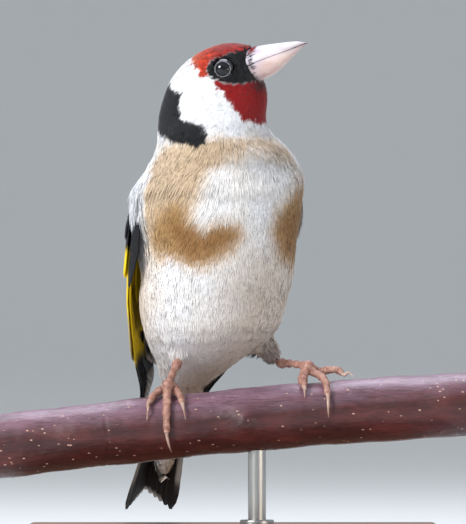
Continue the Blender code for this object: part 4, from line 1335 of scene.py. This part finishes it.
def bark_place(points):
    """Places on the bark for points of a straight rod, with lenticels, a knot and a ring scar."""
    draw = np.random.default_rng(RANDOM_SEED + 21)
    x = points[:, 0]
    turn = np.degrees(np.arctan2(-points[:, 1], points[:, 2] - BRANCH_HEIGHT))
    inward = np.hypot(points[:, 1], points[:, 2] - BRANCH_HEIGHT) / BRANCH_RADIUS
    around = branch_point(x, turn, 0)
    lift = 0.05 * waviness(around, 2.3) + 0.03 * waviness(around + 3, 0.9)
    lift += 0.035 * waviness(around * (0.25, 1, 1), 0.45)
    for _ in range(260):
        px, pt, size = draw.uniform(-58, 58), draw.uniform(-180, 180), draw.uniform(0.18, 0.4)
        gap_turn = (turn - pt + 180) % 360 - 180
        away = ((x - px) / (size * 1.7)) ** 2 + (np.radians(gap_turn) * BRANCH_RADIUS / size) ** 2
        lift += 0.09 * np.exp(-away)
    scar = ((x - KNOT_X) / 1.5) ** 2 + (np.radians(turn - 92) * BRANCH_RADIUS / 2.0) ** 2
    lift += 0.5 * np.exp(-scar) - 0.4 * np.exp(-scar * 5)
    ring_scar = np.abs(x + 31.5 + 0.5 * np.sin(np.radians(turn) * 2))
    lift -= 0.10 * np.exp(-((ring_scar / 0.4) ** 2))
    lift -= 0.4 * smoothstep(BRANCH_REACH - 0.6, BRANCH_REACH, np.abs(x))
    rim = branch_point(x, turn, lift)
    middle = branch_point(x, turn, -branch_radius(x, turn))
    return middle + (rim - middle) * np.minimum(inward, 1)[:, None]


def build_perch():
    bpy.ops.object.select_all(action="DESELECT")
    bpy.ops.mesh.primitive_cylinder_add(
        vertices=144, radius=BRANCH_RADIUS * MM, depth=2 * BRANCH_REACH * MM, end_fill_type="TRIFAN",
        location=(0, 0, BRANCH_HEIGHT * MM), rotation=(0, math.pi / 2, 0),
    )
    perch = bpy.context.object
    perch.name = "bark_covered_branch"
    bpy.ops.object.transform_apply(location=True, rotation=True, scale=True)
    for face in perch.data.polygons:
        face.material_index = 1 if abs(face.normal.x) > 0.9 else 0
    shape = bmesh.new()
    shape.from_mesh(perch.data)
    long_edges = [edge for edge in shape.edges if edge.calc_length() > BRANCH_REACH * MM]
    bmesh.ops.subdivide_edges(shape, edges=long_edges, cuts=BARK_RINGS)
    shape.to_mesh(perch.data)
    shape.free()
    shape_points(perch, bark_place)
    smooth_faces(perch, 60)
    perch.data.materials.append(bark_finish)
    perch.data.materials.append(cut_wood_finish)
    finish_piece(perch, "bark", "perch")


def build_stand():
    low, high = (np.array(corner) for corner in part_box("stand_base"))
    size = high - low
    bpy.ops.object.select_all(action="DESELECT")
    bpy.ops.mesh.primitive_cube_add(size=1, location=tuple((low + high) / 2), scale=tuple(size))
    base = bpy.context.object
    base.name = "wooden_base"
    bpy.ops.object.transform_apply(location=True, rotation=True, scale=True)
    apply_modifier(base, "BEVEL", width=1.7 * MM, segments=6)
    smooth_faces(base, 35)
    base.data.materials.append(base_finish)
    finish_piece(base, "stand wood", "stand_base")
    low, high = (np.array(corner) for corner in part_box("stand_rod"))
    radius = (high[0] - low[0]) / 2
    middle = (low + high) / 2
    rod = add_metal_cylinder("steel_rod", radius, high[2] - low[2] + 0.4 * MM, tuple(middle))
    smooth_faces(rod, 40)
    finish_piece(rod, "stand metal", "stand_rod")
    collar_place = (middle[0], middle[1], low[2] + 0.5 * MM)
    collar = add_metal_cylinder("rod_collar", radius * 1.9, 1.6 * MM, collar_place)
    apply_modifier(collar, "BEVEL", width=0.4 * MM, segments=4)
    smooth_faces(collar, 40)
    finish_piece(collar, "stand metal")


def add_metal_cylinder(name, radius, depth, place):
    bpy.ops.mesh.primitive_cylinder_add(vertices=64, radius=radius, depth=depth, location=place)
    piece = bpy.context.object
    piece.name = name
    bpy.ops.object.transform_apply(location=True, rotation=True, scale=True)
    piece.data.materials.append(rod_finish)
    return piece


# Finishes

coat_finish = plumage_material("feather barbs", 0.72, 0.25)
skin_finish = plumage_material("skin under the coat", 0.85, 0.1)
vane_finish = vane_material("flight feather vanes")


def make_bill_finish():
    made, tree, shader = new_material("pale bill horn", 0.32)
    place = texture_place(tree)
    streaks = grain(tree, place, (160.0, 600.0, 420.0), 3.0)
    upper = ramp(tree, streaks, ((0.3, srgb(206, 196, 208)), (0.7, srgb(232, 226, 236))))
    lower = ramp(tree, streaks, ((0.3, srgb(198, 168, 162)), (0.7, srgb(224, 200, 194))))
    split = tree.nodes.new("ShaderNodeSeparateXYZ")
    tree.links.new(place, split.inputs[0])
    gape_rise = math.tan(math.radians(BILL_RISE)) / HEAD_AHEAD[0]
    over_gape = calculate(tree, "MULTIPLY_ADD", split.outputs["X"], -gape_rise, split.outputs["Z"])
    gape_level = (BILL_BASE[2] - BILL_BASE[0] * gape_rise) * MM
    is_upper = map_range(tree, over_gape, gape_level - 0.0012, gape_level + 0.0014, 0.0, 1.0)
    colour = mix_colour(tree, is_upper, lower, upper)
    tipward = map_range(tree, split.outputs["X"], 0.0110, 0.0165, 0.0, 0.8)
    below_ridge = map_range(tree, over_gape, gape_level + 0.0012, gape_level + 0.0002, 0.0, 1.0)
    above_edge = map_range(tree, over_gape, gape_level - 0.0008, gape_level + 0.0002, 0.0, 1.0)
    shade = calculate(tree, "MULTIPLY", calculate(tree, "MULTIPLY", tipward, below_ridge), above_edge)
    colour = mix_colour(tree, shade, colour, srgb(112, 98, 106))
    rootward = map_range(tree, split.outputs["X"], 0.0085, 0.0055, 0.0, 0.45)
    colour = mix_colour(tree, rootward, colour, srgb(168, 158, 176))
    tree.links.new(colour, shader.inputs["Base Color"])
    shader.inputs["Subsurface Weight"].default_value = 0.2
    shader.inputs["Subsurface Radius"].default_value = (0.002, 0.0012, 0.0008)
    shader.inputs["Subsurface Scale"].default_value = 1.0
    add_bump(tree, shader, streaks, 0.12, 0.0001)
    return made


def make_eye_finish():
    made, tree, shader = new_material("wet dark eye", 0.04)
    place = texture_place(tree)
    fleck = noise(tree, place, 1500.0, 2.0)
    # The eye's near-black is tinted blue: painted reflection of the sky.
    colour = ramp(tree, fleck, ((0.35, srgb(8, 9, 16)), (0.75, srgb(20, 21, 32))))
    tree.links.new(colour, shader.inputs["Base Color"])
    shader.inputs["IOR"].default_value = 1.5
    return made


def make_skin_like(name, dark, light, roughness, scale):
    made, tree, shader = new_material(name, roughness)
    values = {
        "Place": texture_place(tree), "Scale": scale, "Fine Scale": scale * 4,
        "Dark": (*dark, 1.0), "Light": (*light, 1.0),
    }
    mottled = place_effect(tree, mottle_effect, values)
    tree.links.new(mottled["Color"], shader.inputs["Base Color"])
    shader.inputs["Subsurface Weight"].default_value = 0.15
    shader.inputs["Subsurface Radius"].default_value = (0.0012, 0.0005, 0.0003)
    shader.inputs["Subsurface Scale"].default_value = 1.0
    add_bump(tree, shader, mottled["Height"], 0.25, 0.0001)
    return made


def make_bark_finish():
    made, tree, shader = new_material("dark red bark", 0.42)
    place = texture_place(tree)
    broad = grain(tree, place, (70.0, 240.0, 240.0), 6.0, 0.65)
    colour = ramp(tree, broad, ((0.25, srgb(34, 10, 12)), (0.5, srgb(70, 24, 26)), (0.8, srgb(108, 48, 46))))
    split = tree.nodes.new("ShaderNodeSeparateXYZ")
    tree.links.new(place, split.inputs[0])
    # Lighter mauve over the top of the branch, broken into patches: painted sheen of the sky on the glossy
    # bark.
    over = calculate(tree, "MULTIPLY_ADD", split.outputs["X"], -BRANCH_RISE, split.outputs["Z"])
    level = BRANCH_HEIGHT * MM
    painted_top_sheen = map_range(tree, over, level + 0.001, level + 0.0078, 0.0, 0.85)
    patchy = map_range(tree, grain(tree, place, (90.0, 420.0, 420.0), 5.0, 0.7), 0.3, 0.65, 0.35, 1.0)
    patchy_painted_sheen = calculate(tree, "MULTIPLY", painted_top_sheen, patchy)
    colour = mix_colour(tree, patchy_painted_sheen, colour, srgb(168, 136, 160))
    fibres = grain(tree, place, (220.0, 2600.0, 2600.0), 4.0, 0.6)
    dark_lines = map_range(tree, fibres, 0.52, 0.62, 0.0, 0.45)
    colour = mix_colour(tree, dark_lines, colour, srgb(40, 14, 16))
    pores = add_node(tree, "ShaderNodeTexVoronoi")
    pores.inputs["Scale"].default_value = 1.0
    tree.links.new(stretched(tree, place, (420.0, 760.0, 760.0)), pores.inputs["Vector"])
    spots = map_range(tree, pores.outputs["Distance"], 0.10, 0.18, 0.85, 0.0)
    rare = map_range(tree, noise(tree, place, 330.0, 1.0), 0.47, 0.53, 0.0, 1.0)
    open_pores = calculate(tree, "MULTIPLY", spots, rare)
    colour = mix_colour(tree, open_pores, colour, srgb(206, 168, 148))
    tree.links.new(colour, shader.inputs["Base Color"])
    shader.inputs["Coat Weight"].default_value = 0.25
    shader.inputs["Coat Roughness"].default_value = 0.3
    fine = grain(tree, place, (500.0, 1700.0, 1700.0), 5.0, 0.65)
    add_bump(tree, shader, fine, 0.55, 0.00025)
    return made


def make_cut_wood_finish():
    made, tree, shader = new_material("cut end wood", 0.7)
    place = texture_place(tree)
    shifted = add_node(tree, "ShaderNodeMapping")
    shifted.inputs["Location"].default_value = (0.0, 0.0, -BRANCH_HEIGHT * MM)
    tree.links.new(place, shifted.inputs["Vector"])
    rings = add_node(tree, "ShaderNodeTexWave", wave_type="RINGS", rings_direction="X")
    rings.inputs["Scale"].default_value = 170.0
    rings.inputs["Distortion"].default_value = 2.0
    tree.links.new(shifted.outputs["Vector"], rings.inputs["Vector"])
    colour = ramp(tree, rings.outputs["Fac"], ((0.2, srgb(196, 160, 116)), (0.8, srgb(226, 200, 160))))
    tree.links.new(colour, shader.inputs["Base Color"])
    return made


def make_base_finish():
    made, tree, shader = new_material("oiled oak base", 0.42)
    place = texture_place(tree)
    figure = grain(tree, place, (14.0, 210.0, 210.0), 6.0, 0.62, 0.6)
    stops = ((0.25, srgb(96, 62, 38)), (0.55, srgb(138, 96, 62)), (0.8, srgb(166, 122, 82)))
    colour = ramp(tree, figure, stops)
    tree.links.new(colour, shader.inputs["Base Color"])
    add_bump(tree, shader, figure, 0.15, 0.0002)
    shader.inputs["Coat Weight"].default_value = 0.25
    shader.inputs["Coat Roughness"].default_value = 0.25
    return made


def make_rod_finish():
    made, tree, shader = new_material("brushed steel", 0.28, 1.0)
    place = texture_place(tree)
    lines = grain(tree, place, (900.0, 900.0, 60.0), 3.0)
    colour = ramp(tree, lines, ((0.3, srgb(168, 168, 168)), (0.7, srgb(196, 195, 192))))
    tree.links.new(colour, shader.inputs["Base Color"])
    return made


bill_finish = make_bill_finish()
eye_finish = make_eye_finish()
lid_finish = make_skin_like("grey eyelid", srgb(52, 52, 58), srgb(140, 140, 146), 0.5, 1800.0)
leg_finish = make_skin_like("pink leg scutes", srgb(128, 82, 68), srgb(194, 152, 138), 0.5, 700.0)
claw_finish = make_skin_like("claw horn", srgb(150, 118, 104), srgb(206, 182, 168), 0.35, 300.0)
bark_finish = make_bark_finish()
cut_wood_finish = make_cut_wood_finish()
base_finish = make_base_finish()
rod_finish = make_rod_finish()


# Camera, lights and backdrop

FLOOR_RADIUS = 8.5
WALL_HEIGHT = 4.5
FLOOR_COLOUR = (0.74, 0.75, 0.74, 1.0)
AIR_COLOUR = (0.80, 0.84, 0.90, 1.0)
AIR_STRENGTH = 0.72
LIT_POINT = (-0.002, 0.0, 0.085)
LIGHTS = (
    # name, place, size, power, colour
    ("key", (-0.66, -0.66, 0.5), 0.4, 10.0, (1.0, 0.985, 0.96)),
    ("bounce", (0.7, -0.6, -0.02), 0.6, 2.2, (1.0, 0.86, 0.7)),
    ("sky", (0.0, 0.3, 0.8), 0.6, 4.5, (0.84, 0.88, 1.0)),
)


def place_camera():
    data = bpy.data.cameras.new("camera")
    data.lens = CAMERA_LENS
    data.sensor_width = SENSOR
    data.clip_end = 20
    camera = bpy.data.objects.new("camera", data)
    bpy.context.scene.collection.objects.link(camera)
    tall = PHOTO_HEIGHT * MM_PER_PIXEL * MM
    distance = CAMERA_LENS / SENSOR * tall
    camera.location = (0.0, -distance, CAMERA_HEIGHT * MM)
    camera.rotation_euler = (math.pi / 2, 0, 0)
    bpy.context.scene.camera = camera


def area_light(name, place, size, power, colour):
    data = bpy.data.lights.new(name, "AREA")
    data.shape = "DISK"
    data.size = size
    data.energy = power
    data.color = colour
    light = bpy.data.objects.new(name, data)
    bpy.context.scene.collection.objects.link(light)
    light.location = place
    light.rotation_mode = "QUATERNION"
    light.rotation_quaternion = (Vector(place) - Vector(LIT_POINT)).to_track_quat("Z", "Y")


def build_stage():
    bpy.ops.object.select_all(action="DESELECT")
    bpy.ops.mesh.primitive_circle_add(vertices=128, radius=FLOOR_RADIUS, fill_type="NGON")
    floor = bpy.context.object
    floor.name = "studio_floor"
    bpy.ops.object.mode_set(mode="EDIT")
    bpy.ops.mesh.select_mode(type="EDGE")
    bpy.ops.mesh.select_all(action="SELECT")
    bpy.ops.mesh.region_to_loop()
    bpy.ops.mesh.extrude_region_move(TRANSFORM_OT_translate={"value": (0, 0, WALL_HEIGHT)})
    bpy.ops.object.mode_set(mode="OBJECT")
    apply_modifier(floor, "BEVEL", width=3.2, segments=24, angle_limit=math.radians(60))
    floor.data.shade_smooth()
    made, _, shader = new_material("pale floor", 0.9)
    shader.inputs["Base Color"].default_value = FLOOR_COLOUR
    shader.inputs["Specular IOR Level"].default_value = 0.1
    floor.data.materials.append(made)
    world = bpy.data.worlds.new("studio")
    world.use_nodes = True
    world.node_tree.nodes["Background"].inputs["Color"].default_value = AIR_COLOUR
    world.node_tree.nodes["Background"].inputs["Strength"].default_value = AIR_STRENGTH
    bpy.context.scene.world = world
    for light in LIGHTS:
        area_light(*light)
    bpy.context.scene.view_settings.view_transform = "Standard"


place_camera()
skin_piece = build_skin()
build_coat(skin_piece)
build_wing("right", 1)
build_wing("left", -1)
build_tail()
build_bill()
build_bristles()
build_eyes()
build_legs()
build_perch()
build_stand()
build_stage()
